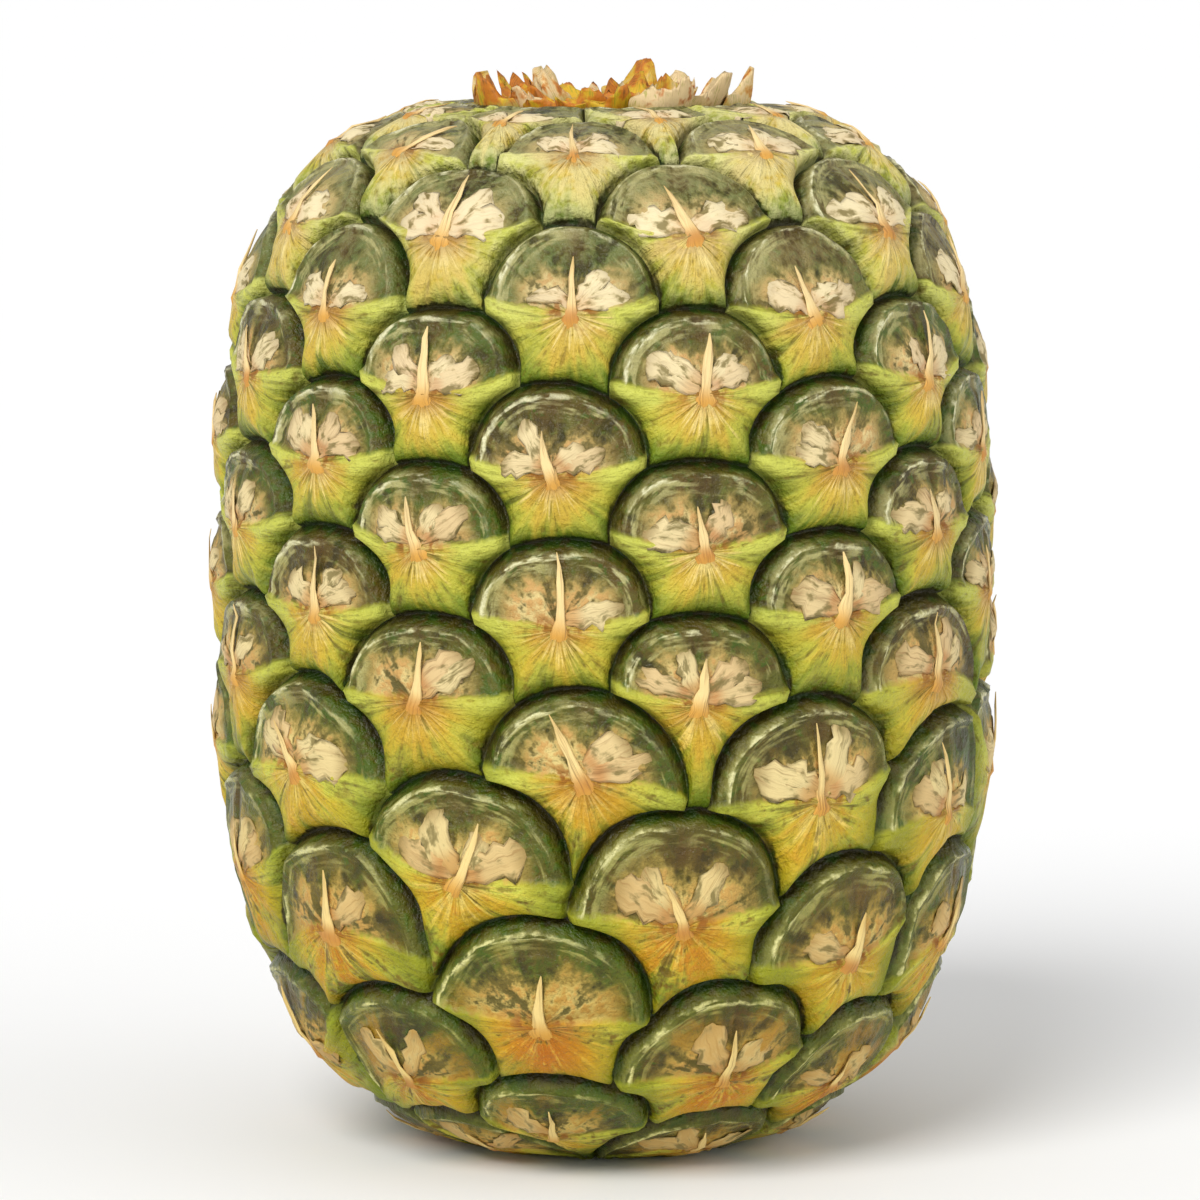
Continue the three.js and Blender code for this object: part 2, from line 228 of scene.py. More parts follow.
def eye_cell(index):
    own_x, own_y, _ = middles[index]
    left, right = own_x - CELL_REACH, own_x + CELL_REACH
    cell = [(left, 0.0, "foot"), (right, 0.0, "side"),
            (right, SCAR_CLIMB, "scar"), (left, SCAR_CLIMB, "side")]
    for i, (angle, climb, _) in enumerate(middles):
        x = angle - round((angle - own_x) / math.tau) * math.tau
        if i != index and abs(x - own_x) < 2 * CELL_REACH:
            limit = (x * x - own_x ** 2 + climb ** 2 - own_y ** 2) / 2
            cell = cut_cell(cell, x - own_x, climb - own_y, limit, f"eye{i}")
    return cell


cells = [eye_cell(i) for i in range(len(middles))]
print("sides of a cell:", min(map(len, cells)), "to", max(map(len, cells)))

# %% [markdown]
# ## The relief of one eye
# Over the navel an eye is a dome: a steep wall out of the groove, a thin ridge where the wall
# turns over, a shallow trough, then two dry lobes side by side. Under the navel the bract makes a
# ledge with a crisp upper lip that runs out sideways into two pointed arms, a keel down its
# middle, and a long slope into the groove of the eyes below. Uneven folds fan out over both, and
# what stands highest is worn back. All of this is one formula of `u` (across), `v` (up) and `edge`
# (how far in from the groove), in millimetres.

# %% Describe the relief
GROOVE_DEPTH = 2.7
GROOVE_FADE = 0.15  # climb over which the grooves run out on the foot
WORN_ABOVE = 1.1  # what stands higher over the skin than this is worn to half as much


def ramp(low, high, value):
    share = np.clip((value - low) / (high - low), 0, 1)
    return share * share * (3 - 2 * share)


def hump(value, width):
    return np.exp(-((value / width) ** 2))


def folds(u, v, seed, turns, length):
    """Uneven folds that fan out from the navel, from about -1 to 1, without a seam."""
    radius = np.maximum(np.hypot(u, v), 0.4)
    places = np.stack([u / radius * turns, v / radius * turns, radius / length + seed], axis=-1)
    return np.array([smooth_noise(place) for place in places])


def dome_relief(u, v, edge, deep, lobes):
    """The part over the navel; deep is the groove's depth as a share of the deepest."""
    wall = -GROOVE_DEPTH * deep + (GROOVE_DEPTH * deep + 0.3) * ramp(-0.4, 2.4, edge)
    ridge = 0.35 * hump(edge - 2.3, 0.6)
    trough = -0.35 * hump(edge - 3.9, 0.9)
    crown = 1.1 * hump(np.hypot(u, v - 2.5), 7)
    lobe = hump(np.hypot((np.abs(u) - 3.4) / 3.0, (v - 3.0) / 1.9), 1) * lobes
    seam = -0.5 * hump(u, 0.6) * ramp(4, 7, v) * ramp(0.5, 3, edge)
    return wall + ridge + trough + crown + 0.7 * lobe + seam


def bract_relief(u, v, edge, deep):
    """The part under the navel."""
    reach = edge * (1 + 1.6 * hump(v, 2.4))
    slope = -GROOVE_DEPTH * deep + (GROOVE_DEPTH * deep + 0.4) * (1 - np.exp(-reach / 1.3))
    swell = 0.7 * hump(np.hypot(u / 1.4, v + 1.5), 6)
    lip = 0.5 * hump(v, 1.3) * ramp(0, 3, reach)
    keel = 0.5 * hump(u, 2.2) * ramp(0, 4, edge)
    return slope + swell + lip + keel


def eye_relief(u, v, edge, deep, traits):
    """Height over the skin, in millimetres."""
    over = ramp(0.1, 1.1, v)
    crease = -0.5 * hump(v - 1.4, 0.6) * hump(u, 9) * ramp(1.5, 4, edge)
    dome = over * dome_relief(u, v, edge, deep, traits["lobes"])
    bract = (1 - over) * bract_relief(u, v, edge, deep)
    broad_folds = 0.5 * folds(u, v, traits["seed"], 2.0, 7.0)
    fine_folds = 0.25 * folds(u, v, traits["seed"] + 7, 5.0, 4.0)
    height = bract + dome + crease + (broad_folds + fine_folds) * ramp(0, 3, edge)
    return height - 0.5 * np.maximum(height - WORN_ABOVE, 0)


MIDDLING = {"lobes": 1.0, "seed": 0.0}
for name, u, v, edge in (("rim", 0.0, 8.0, 2.5), ("lobe", 3.5, 3.0, 8.0), ("lip", 0.0, -1.0, 7.0)):
    print("height of the", name, eye_relief(*np.array([[u], [v], [edge]]), 1.0, MIDDLING).round(2))

# %% [markdown]
# ## No two eyes alike
# The sides of a cell are straight, but an eye's are not: its dome bows up into its neighbours, and
# the groove runs shallow where two arms meet. Each eye also gets its own tone, share of gold,
# fullness of lobes and set of folds, drawn once from a seeded source, so that every run gives the
# same fruit.

# %% Bow the sides and draw the traits
ARCH_TOP = 0.065  # how far a level side bows up over a dome, as a share of its length
ARCH_SIDE = 0.32  # how much further a slanting side bows
ARM_GROOVE = 0.4  # depth of the groove where two arms meet, as a share of the deepest

dice = random.Random(31)
eye_traits = [  # nothing reads the spare draw, but without it every later eye would change
    {"tone": dice.random(), "gold": dice.random(), "lobes": dice.uniform(0.5, 1.2),
     "spare": dice.gauss(0, 0.16), "seed": dice.uniform(0, 100)}
    for _ in middles
]


def side_bow(index, side, length):
    """How a side bows, as a step in the chart: up, away from the lower of its two eyes."""
    if side in ("foot", "scar"):
        return 0.0, 0.0
    own_x, own_y, _ = middles[index]
    other_x, other_y, _ = middles[int(side[3:])]
    dx = other_x - own_x - round((other_x - own_x) / math.tau) * math.tau
    dy = other_y - own_y
    distance = math.hypot(dx, dy)
    bow = length * dy * (ARCH_SIDE * abs(dx) / distance + ARCH_TOP) / distance ** 2
    return dx * bow, dy * bow


def groove_share(sides, climb):
    """Share of the groove's depth: full over the dome of its lowest eye, less at that eye's arms,
    and none at the foot and at the scar."""
    if climb == SCAR_CLIMB:
        return 0.0
    _, low, scale = min((middles[int(side[3:])] for side in sides if side.startswith("eye")),
                        key=lambda middle: middle[1])
    rise = (climb - low) * scale / MM + NAVEL_DROP / MM
    past_arms = ARM_GROOVE + (1 - ARM_GROOVE) * float(ramp(0.5, 5.0, rise))
    return past_arms * float(ramp(0, GROOVE_FADE, climb))


print("the first eye:", {name: round(value, 2) for name, value in eye_traits[0].items()})

# %% [markdown]
# ## The mesh of the rind
# Each cell becomes a web: the border, a set of rings that close in on the navel, and a point in
# the middle. The rings stand close together near the groove, where the form turns fastest, and
# wide apart inside. A web of this kind needs a third of the faces of an even grid. It is far too
# regular for hand work with operators, so we write its points and faces directly. The `Web` keeps
# them as they come: a strip joins two rings, and a fan closes the last ring on a point.

# %% Keep points and faces
class Web:
    """Points and faces under construction, with what each face corner knows of its eye."""

    def __init__(self):
        self.points, self.faces, self.corners = [], [], []
        self.shared, self.foot_edge, self.scar_edge = {}, [], []
        self.count = 0

    def add(self, points):
        first = self.count
        self.points.append(points)
        self.count += len(points)
        return np.arange(first, self.count)

    def share(self, key, make_point):
        if key not in self.shared:
            self.shared[key] = int(self.add(make_point())[0])
        return self.shared[key]

    def strip(self, outer, inner, outer_facts, inner_facts):
        following = np.roll(np.arange(len(outer)), -1)
        self.faces.append(np.stack([outer, outer[following], inner[following], inner], axis=1))
        facts = [outer_facts, outer_facts[following], inner_facts[following], inner_facts]
        self.corners.append(np.stack(facts, axis=1))

    def fan(self, ring, tip, ring_facts, tip_facts):
        following = np.roll(np.arange(len(ring)), -1)
        self.faces.append(np.stack([ring, ring[following], np.full(len(ring), tip)], axis=1))
        tips = np.broadcast_to(tip_facts, ring_facts.shape)
        self.corners.append(np.stack([ring_facts, ring_facts[following], tips], axis=1))


web = Web()
print("the web holds", web.count, "points")

# %% [markdown]
# ## Once round a cell
# A border point belongs to two eyes, or to three at a corner, and each of them walks past it. It is
# made by the first and found again by the others, under the names of the eyes that meet there, so
# the rind has no cracks. The steps are about as long as the gaps between the outer rings.

# %% Walk round every cell
BORDER_STEP = 1.45 * MM


def cell_border(index):
    """The border of one cell: chart places and shared points, anticlockwise from outside."""
    cell, own = cells[index], f"eye{index}"
    xs, ys, points, depths = [], [], [], []
    for i, (x, y, across) in enumerate(cell):
        next_x, next_y, _ = cell[(i + 1) % len(cell)]
        before = cell[i - 1][2]
        length = math.hypot(next_x - x, next_y - y)
        pieces = max(1, math.ceil(length * float(radius_at((y + next_y) / 2)) / BORDER_STEP))
        bow_x, bow_y = side_bow(index, across, length)
        for k in range(pieces):
            along = k / pieces
            bend = 4 * along * (1 - along)
            at_x = x + (next_x - x) * along + bow_x * bend
            at_y = y + (next_y - y) * along + bow_y * bend
            sides = sorted((own, across, before) if k == 0 else (own, across))
            step = (k if own < across else pieces - k) if k else "corner"
            deep = groove_share(sides, at_y)
            floor_of_groove = -GROOVE_DEPTH * deep * MM
            point = web.share((*sides, step), lambda: skin_points(
                np.array([at_x]), np.array([at_y]), floor_of_groove))
            if at_y == 0.0 and point not in web.foot_edge:
                web.foot_edge.append(point)
            if at_y == SCAR_CLIMB and point not in web.scar_edge:
                web.scar_edge.append(point)
            xs.append(at_x)
            ys.append(at_y)
            points.append(point)
            depths.append(deep)
    return np.array(xs), np.array(ys), np.array(points), np.array(depths)


eye_borders = [cell_border(index) for index in range(len(middles))]
print("points on the borders:", web.count)

# %% [markdown]
# ## Ring by ring to the navel
# Each ring is the border drawn closer to the navel, lifted by the relief. While we know where a
# point lies in its eye, we note it down for the finish: `u` and `v`, measured so that `v` is 0 from
# the navel out to the tips of both arms, and the distance to the groove.

# %% Weave every eye
RING_SHARES = (0.975, 0.94, 0.9, 0.85, 0.79, 0.71, 0.61, 0.5, 0.39, 0.28, 0.17, 0.08)
COMMON_HALF_WIDTH = 11.6  # millimetres from the navel to the tip of an arm, in a middling eye


def eye_reach(index):
    """The border of an eye as places in its own millimetres, and its distance from the navel."""
    angle, climb, scale = middles[index]
    border_x, border_y, _, _ = eye_borders[index]
    size = math.sqrt(scale / SKIN_RADIUS)
    unit = scale / MM / size
    across = (border_x - angle) * unit
    rise = (border_y - climb) * unit + NAVEL_DROP / MM / size
    return across, rise, np.hypot(across, rise)


def add_eye(index):
    angle, climb, scale = middles[index]
    traits = eye_traits[index]
    border_x, border_y, outer, deep = eye_borders[index]
    navel_x, navel_y = angle, climb - NAVEL_DROP / scale
    size = math.sqrt(scale / SKIN_RADIUS)
    across, rise, reach = eye_reach(index)
    traits["span"] = float(np.ptp(across)) / 2 / COMMON_HALF_WIDTH
    traits["island"] = 2.04 * float(np.abs([across, rise]).max())
    left_tip, right_tip = int(np.argmin(across)), int(np.argmax(across))

    def facts(share):
        u = across * share
        tip = np.where(u < 0, left_tip, right_tip)
        shoulder = rise[tip] * (u / across[tip]) ** 2
        return np.stack([u, rise * share - shoulder, reach * (1 - share), index + 0 * u], axis=1)

    outer_facts = facts(1.0)
    for share in RING_SHARES:
        ring_facts = facts(share)
        u, v, edge = ring_facts[:, 0], ring_facts[:, 1], ring_facts[:, 2]
        lift = eye_relief(u, v, edge, deep, traits) * size * MM
        x = navel_x + (border_x - navel_x) * share
        y = navel_y + (border_y - navel_y) * share
        inner = web.add(skin_points(x, y, lift))
        web.strip(outer, inner, outer_facts, ring_facts)
        outer, outer_facts = inner, ring_facts
    middle_facts = np.array([0, 0, reach.mean(), index])
    lift = eye_relief(*middle_facts[:3, None], 1.0, traits) * size * MM
    tip = web.add(skin_points(np.array([navel_x]), np.array([navel_y]), lift))[0]
    web.fan(outer, tip, outer_facts, middle_facts)


for index in range(len(middles)):
    add_eye(index)
print("points in the web:", web.count)
print("span of the eyes:", round(min(t["span"] for t in eye_traits), 2), "to",
      round(max(t["span"] for t in eye_traits), 2))

# %% [markdown]
# ## Closing the two ends
# The foot is a flat ring that the fruit stands on, with a shallow groove round the cut stalk. The
# scar on top is a shallow dish. Both are more rings, on the border points that the eyes left
# there.

# %% Close the foot and the scar
FOOT_RINGS = ((16, 0.0), (14, 0.1), (13, 0.5), (11.3, 1.0), (10.2, 0.8), (8, 1.2), (4, 1.3),
              (1.5, 1.3))
SCAR_RINGS = ((20, 0.1), (18.6, -0.5), (17, -0.7), (15, -1.1), (12.5, -1.5), (10, -1.8), (7, -1.9),
              (4, -1.9), (1.5, -1.9))
FOOT_EYE, SCAR_EYE = -1.0, -2.0  # stand in for an eye's number on the two ends


def close_end(edge, rings, base_height, eye):
    """Rings of (radius, height), in millimetres, from an end's edge to its middle."""
    points = np.concatenate(web.points)
    places = points[edge]
    angle = np.arctan2(places[:, 0], -places[:, 1])
    order = np.argsort(-angle if eye == FOOT_EYE else angle)
    outer, angle = np.array(edge)[order], angle[order]
    wobble = 0.25 * np.sin(angle * 5) + 0.2 * np.sin(angle * 13 + 1) + 0.15 * np.sin(angle * 29)

    def facts(radius):
        u, v = radius * np.sin(angle), radius * np.cos(angle)
        return np.stack([u, v, np.full(len(u), radius), np.full(len(u), eye)], axis=1)

    outer_facts = facts(np.hypot(*points[outer[0]][:2]) / MM)
    for radius, height in rings:
        ring_facts = facts(radius)
        rough = wobble * ramp(0, 1, np.abs(height)) * ramp(0, 6, radius)
        ring = np.stack([radius * MM * np.sin(angle), -radius * MM * np.cos(angle),
                         base_height + (height + rough * 0.5) * MM], axis=1)
        inner = web.add(ring)
        web.strip(outer, inner, outer_facts, ring_facts)
        outer, outer_facts = inner, ring_facts
    tip = web.add(np.array([[0, 0, base_height + rings[-1][1] * MM]]))[0]
    web.fan(outer, tip, outer_facts, np.array([0, 0, 0, eye]))


close_end(web.foot_edge, FOOT_RINGS, 0.0, FOOT_EYE)
close_end(web.scar_edge, SCAR_RINGS, SCAR_HEIGHT, SCAR_EYE)
print("points with both ends:", web.count)

# %% [markdown]
# ## From web to object
# The points and faces become a mesh. What each face corner knows of its eye goes along as
# attributes, which the material reads: `eye_place` holds u, v and the distance to the groove, and
# `eye_trait` holds numbers that differ from eye to eye. They sit on face corners, because a
# border point belongs to several eyes at once. A flat map gives every eye an island of its own,
# so nothing overlaps when the finish is baked to a picture.

# %% Make the rind
ISLANDS_ACROSS = 12
END_ISLAND = 44.0  # millimetres across the island of the foot and of the scar


def flat_map(facts):
    """An island for every eye, in rows; the two ends take the last two."""
    eye = facts[:, 3].astype(int)
    island = np.where(eye >= 0, eye, len(middles) - 1 - eye)
    column, row = island % ISLANDS_ACROSS, island // ISLANDS_ACROSS
    spans = np.array([t["island"] for t in eye_traits] + [END_ISLAND])
    span = spans[np.where(eye >= 0, eye, len(middles))]
    flat = facts[:, :2] / span[:, None] + np.stack([column, row], axis=1) + 0.5
    return flat / ISLANDS_ACROSS


def note(mesh, name, kind, domain, values):
    """Notes facts on a mesh, for a finish to read: one for each point or face corner."""
    layer = mesh.attributes.new(name, kind, domain)
    layer.data.foreach_set("value" if kind == "FLOAT" else "vector", values.ravel())


def smooth_object(mesh):
    """Puts a mesh into the scene as a smooth-shaded object of the same name."""
    mesh.update()
    made = bpy.data.objects.new(mesh.name, mesh)
    bpy.context.collection.objects.link(made)
    bpy.ops.object.select_all(action="DESELECT")
    made.select_set(True)
    bpy.context.view_layer.objects.active = made
    bpy.ops.object.shade_smooth()
    return made


def make_rind():
    mesh = bpy.data.meshes.new("rind")
    faces = [face for block in web.faces for face in block.tolist()]
    mesh.from_pydata(np.concatenate(web.points).tolist(), [], faces)
    facts = np.concatenate([block.reshape(-1, 4) for block in web.corners])
    traits = np.array([[t["tone"], t["gold"], t["seed"]] for t in eye_traits] + [[0.5, 0.5, 0.0]])
    spans = np.array([t["span"] for t in eye_traits] + [1.0])
    eye = facts[:, 3].astype(int)
    row = np.where(eye >= 0, eye, len(middles))  # the two ends share the last row
    note(mesh, "eye_place", "FLOAT_VECTOR", "CORNER", facts[:, :3])
    note(mesh, "eye_trait", "FLOAT_VECTOR", "CORNER", traits[row])
    note(mesh, "eye_span", "FLOAT", "CORNER", spans[row])
    bake_map = mesh.uv_layers.new(name="OFBake")
    bake_map.uv.foreach_set("vector", flat_map(facts).ravel())
    face_eye = np.concatenate([block[:, 0, 3] for block in web.corners])
    finish = np.select([face_eye == FOOT_EYE, face_eye == SCAR_EYE], [1, 2], 0)
    mesh.polygons.foreach_set("material_index", finish)
    return smooth_object(mesh)


rind = make_rind()
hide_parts("fruit")
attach(rind, BODY)
print("faces of the rind:", len(rind.data.polygons))

# %% [markdown]
# ## Arithmetic with nodes
# A pattern that follows the eyes needs some hundred small sums. Written as nodes one by one they
# would hide the idea, so a tiny class lets us write them as arithmetic: each `Signal` is the
# output of a node, and adding or multiplying signals adds the next Math node. The result is an
# ordinary node tree that can be opened and changed by hand.

# %% Write nodes as arithmetic
class Signal:
    """A number that flows through a node tree."""

    def __init__(self, tree, socket):
        self.tree, self.socket = tree, socket

    def feed(self, target):
        self.tree.links.new(self.socket, target)

    def math(self, operation, *others):
        node = self.tree.nodes.new("ShaderNodeMath")
        node.operation = operation
        for i, value in enumerate((self, *others)):
            if isinstance(value, Signal):
                value.feed(node.inputs[i])
            else:
                node.inputs[i].default_value = value
        return Signal(self.tree, node.outputs[0])

    def __add__(self, other):
        return self.math("ADD", other)

    def __sub__(self, other):
        return self.math("SUBTRACT", other)

    def __mul__(self, other):
        return self.math("MULTIPLY", other)

    def __neg__(self):
        return self * -1.0

    def flip(self):
        """One less the signal."""
        return -self + 1.0

    def size(self):
        return self.math("ABSOLUTE")

    def greatest(self, other):
        return self.math("MAXIMUM", other)

    def ramp(self, low, high):
        """0 below low, 1 above high, with a soft step between; low may be above high."""
        node = self.tree.nodes.new("ShaderNodeMapRange")
        node.interpolation_type = "SMOOTHSTEP"
        self.feed(node.inputs["Value"])
        node.inputs["From Min"].default_value = min(low, high)
        node.inputs["From Max"].default_value = max(low, high)
        node.inputs["To Min"].default_value = 0.0 if low < high else 1.0
        node.inputs["To Max"].default_value = 1.0 if low < high else 0.0
        return Signal(self.tree, node.outputs["Result"])

    def hump(self, middle, width):
        """1 at the middle, falling softly to 0 at about one and a half widths."""
        return ((self - middle) * (1 / width)).size().ramp(1.5, 0.0)


print("sums that a signal can do:", [name for name in vars(Signal) if not name.startswith("__")])

# %% [markdown]
# ## Paints, masks and patterns
# A finish is laid on like paint: a box of named paints, and a mask for each that says where it
# goes and how thickly. `blend` lays on one coat, `coats` a row of them, the last one on top.
# Paints are mixed by a chart from 0 to 255, as the eye sees them, but a shader counts light, so
# `linear` turns one into the other. The other helpers read what a mesh knows, make noise, start a
# material and raise its surface a little.

# %% Helpers for paints and patterns
def linear(red, green, blue):
    """A colour given as on a paint chart, 0 to 255, for a shader."""
    parts = [part / 255 for part in (red, green, blue)]
    return tuple(p / 12.92 if p <= 0.04045 else ((p + 0.055) / 1.055) ** 2.4 for p in parts) + (1.0,)


def paint_box(**charted):
    """Named paints, ready for a shader."""
    return {name: linear(*chart) for name, chart in charted.items()}


def blend(tree, first, second, share, mode="MIX"):
    """Mixes two colours, each a fixed one or a socket, by a signal."""
    node = tree.nodes.new("ShaderNodeMix")
    node.data_type = "RGBA"
    node.blend_type = mode
    share.feed(node.inputs["Factor"])
    for name, colour in (("A", first), ("B", second)):
        socket = next(s for s in node.inputs if s.name == name and s.type == "RGBA")
        if isinstance(colour, tuple):
            socket.default_value = colour
        else:
            tree.links.new(colour, socket)
    return next(s for s in node.outputs if s.type == "RGBA")


def coats(tree, box, colour, **masks):
    """Lays paints of a box over a colour in the order given, each through its own mask."""
    for name, mask in masks.items():
        colour = blend(tree, colour, box[name], mask)
    return colour


def attribute(tree, name, output="Vector"):
    node = tree.nodes.new("ShaderNodeAttribute")
    node.attribute_name = name
    return node.outputs[output]


def split(tree, vector):
    node = tree.nodes.new("ShaderNodeSeparateXYZ")
    tree.links.new(vector, node.inputs[0])
    return [Signal(tree, socket) for socket in node.outputs]


def gather(tree, *parts):
    node = tree.nodes.new("ShaderNodeCombineXYZ")
    for part, socket in zip(parts, node.inputs):
        if isinstance(part, Signal):
            part.feed(socket)
        else:
            socket.default_value = part
    return node.outputs[0]


def noise(tree, vector, scale, detail=3.0, roughness=0.55):
    node = tree.nodes.new("ShaderNodeTexNoise")
    tree.links.new(vector, node.inputs["Vector"])
    node.inputs["Scale"].default_value = scale
    node.inputs["Detail"].default_value = detail
    node.inputs["Roughness"].default_value = roughness
    return Signal(tree, node.outputs["Fac"])


def new_material(name):
    """An empty material with its Principled shader, and its tree."""
    material = bpy.data.materials.new(name)
    material.use_nodes = True
    return material, material.node_tree, material.node_tree.nodes["Principled BSDF"]


def bump(tree, shader, height, depth, strength):
    """Raises the finish by a signal; depth is in metres."""
    node = tree.nodes.new("ShaderNodeBump")
    node.inputs["Strength"].default_value = strength
    node.inputs["Distance"].default_value = depth
    height.feed(node.inputs["Height"])
    tree.links.new(node.outputs["Normal"], shader.inputs["Normal"])


print("half-way grey gives back", round(linear(128, 128, 128)[0], 2), "of the light")

# %% [markdown]
# ## What the finish knows of an eye
# On the real fruit the colour follows the form closely, so the masks must too. The mesh brings `u`,
# `v`, the distance to the groove and the eye's traits. To these we add noise of three sizes, and
# noise that follows the eye: rays and fibres that fan out from the navel, and bands along the rim.
# `over` is the share of the dome: 1 over the navel, 0 under it, with a frayed edge.

# %% Read an eye
def round_navel(tree, eye, count, way, detail=3.0):
    """Noise by the direction from the navel and by one way in or out: no seam on any side."""
    across, up = eye.u.math("DIVIDE", eye.radius), eye.v.math("DIVIDE", eye.radius)
    return noise(tree, gather(tree, across * count, up * count, way + eye.seed), 1.0, detail)


def read_eye(tree):
    """What the rind's mesh knows of each eye, as signals; u and v grow with the eye's span."""
    u, v, edge = split(tree, attribute(tree, "eye_place"))
    tone, gold, seed = split(tree, attribute(tree, "eye_trait"))
    span = Signal(tree, attribute(tree, "eye_span", "Fac"))
    place = tree.nodes.new("ShaderNodeTexCoord").outputs["Object"]
    eye = SimpleNamespace(u=u.math("DIVIDE", span), v=v.math("DIVIDE", span), edge=edge,
                          tone=tone, gold=gold, seed=seed, height=split(tree, place)[2])
    eye.coarse = noise(tree, place, 260)
    eye.medium = noise(tree, place, 750)
    eye.fine = noise(tree, place, 2200)
    eye.radius = (eye.u * eye.u + eye.v * eye.v).math("SQRT").greatest(0.4)
    eye.rays = round_navel(tree, eye, 2.6, eye.radius * (1 / 9.0))
    eye.fibres = round_navel(tree, eye, 9.0, eye.radius * (1 / 5.0))
    eye.bands = round_navel(tree, eye, 2.2, eye.edge * 1.1, 2.0)
    eye.over = (eye.v + (eye.medium - 0.5) * 1.4 + (eye.rays - 0.5) * 1.4).ramp(0.1, 1.0)
    return eye


print("numbers that the mesh holds:", [layer.name for layer in rind.data.attributes
                                       if layer.name.startswith("eye")])

# %% [markdown]
# ## The dome
# The three sepals that close over an eye are olive and brown, with mossy green patches and small
# dark pits. Near the rim lie pale bands of painted highlight, brighter towards the upper left where
# the light comes from, and a brown seam down the top is darkened further by painted shade. In the
# middle they have dried to two pale lobes with ragged roofs, straw at the edge and cream at the
# heart, cracked where they shrank.

# %% Paint the dome
DOME = paint_box(olive=(91, 91, 30), umber=(86, 70, 20), moss=(60, 88, 14), pit=(40, 36, 8),
                 bloom=(172, 166, 108), dust=(136, 124, 64), gap=(82, 56, 22),
                 straw=(160, 138, 76), cream=(214, 192, 132), tan=(196, 154, 94),
                 crack=(78, 70, 22))


def paint_dome(tree, eye):
    """Colour over the navel, and how dry it is."""
    u, v, edge, tone = eye.u, eye.v, eye.edge, eye.tone
    coarse, medium, rays = eye.coarse, eye.medium, eye.rays
    # Painted highlight: pale glints in bands near the rim, brighter towards the upper left, where the
    # light comes from.
    waxy = (eye.bands * 0.7 + rays * 0.3 + u * -0.006 + v * 0.004).ramp(0.5, 0.64)
    side = u.size() + (coarse - 0.5) * 3.4
    roof = (side - 3.4).greatest(0.0) * -0.6 + (-side + 2.2).greatest(0.0) * -0.5 + 6.2
    ragged = roof - v + (rays - 0.5) * 7.0 + (medium - 0.5) * 5.0
    lobes = ragged.ramp(-1.0, 1.6) * side.ramp(8.8, 6.0)
    colour = coats(tree, DOME, DOME["olive"],
                   umber=(coarse + tone * 0.3).ramp(0.5, 0.8),
                   moss=(medium + tone * -0.2).ramp(0.4, 0.56) * 0.75,
                   pit=(rays * 0.7 + medium * 0.4).ramp(0.54, 0.4) * 0.75,
                   bloom=edge.hump(3.2, 2.2) * waxy * 0.9,
                   dust=edge.ramp(4.0, 7.0) * (rays + coarse * 0.3).ramp(0.64, 0.84) * 0.6,
                   # partly brown, partly painted shade: the seam down the top of the dome is made
                   # darker
                   gap=u.hump(0.0, 1.9) * v.ramp(5.5, 8.0) * 0.6,
                   straw=lobes)
    cream = blend(tree, DOME["cream"], DOME["tan"], (medium + tone * 0.1).ramp(0.44, 0.64))
    heart = (ragged - 0.9).ramp(-0.5, 1.9) * side.ramp(8.0, 4.5)
    cracks = lobes * (medium * 0.5 + rays * 0.6).ramp(0.57, 0.46)
    return coats(tree, DOME, blend(tree, colour, cream, heart), crack=cracks * 0.9), lobes


print("paints for the dome:", len(DOME))

# %% [markdown]
# ## The bract
# Under the navel the bract is a dark green near the groove, partly its own colour and partly
# painted shade where it slopes away, and paler out in the arms. Its lip is a pale line, and its
# middle glows yellow to gold, with bright and dark fibres that fan out from the navel and a warm
# brown stain right at it.

# %% Paint the bract
BRACT = paint_box(shade=(86, 106, 18), arm=(134, 144, 46), skin=(162, 163, 56),
                  green=(92, 120, 18), yellow=(186, 180, 60), lip=(197, 199, 86),
                  gold=(202, 168, 58), bright=(236, 210, 128), dark=(120, 96, 24),
                  stain=(176, 106, 24))


def paint_bract(tree, eye):
    """Colour under the navel."""
    u, v, coarse, medium = eye.u, eye.v, eye.coarse, eye.medium
    rays, fibres = eye.rays, eye.fibres
    inside = eye.edge + coarse * 4.0 + rays * 3.0
    glow = u.hump(0.0, 11.0) * v.hump(-1.5, 7.6)
    lip = v.hump(-0.5, 2.2) + (fibres - 0.5) * 1.2 + (rays - 0.5) * 0.6
    centre = u.hump(0.0, 5.6) * v.hump(-1.8, 5.6)
    heart = u.hump(0.0, 5.4) * v.hump(-1.2, 5.0)
    warm = (medium * 0.8 + rays * 0.4 + eye.gold * 0.35).ramp(0.6, 0.86)
    # The base paint is a dark green, partly painted shade, that stays where the skin paint thins out
    # near the groove.
    return coats(tree, BRACT, BRACT["shade"],
                 arm=u.size().ramp(6.5, 9.5),
                 skin=inside.ramp(3.4, 7.2),
                 green=(coarse * 0.5 + rays * 0.6 + v * -0.012).ramp(0.56, 0.69) * 0.85,
                 yellow=(glow * 1.2 + (rays - 0.5) * 2.2 + (fibres - 0.5) * 0.8).ramp(0.3, 1.1),
                 lip=lip.ramp(0.4, 1.05) * 0.85,
                 gold=(centre * 1.2 + (rays - 0.5) * 2.2).ramp(0.3, 1.0) * 0.9,
                 bright=(heart * 1.2 + (fibres - 0.5) * 2.8).ramp(0.7, 1.4),
                 dark=(fibres * 0.6 + medium * 0.5).ramp(0.5, 0.38) * 0.55,
                 stain=u.hump(0.0, 5.2) * v.hump(-0.5, 2.2) * warm * 0.75)


print("paints for the bract:", len(BRACT))

# %% [markdown]
# ## Ripe below, dusty above
# A pineapple ripens from its base up. Near the foot the bracts turn gold and orange, with straw
# and scorched streaks and leafy green arms, and the domes turn golden with mossy rims. Near the
# top the skin is still pale and dusty. All these masks fade with the height over the floor, which
# Object coordinates give in metres.

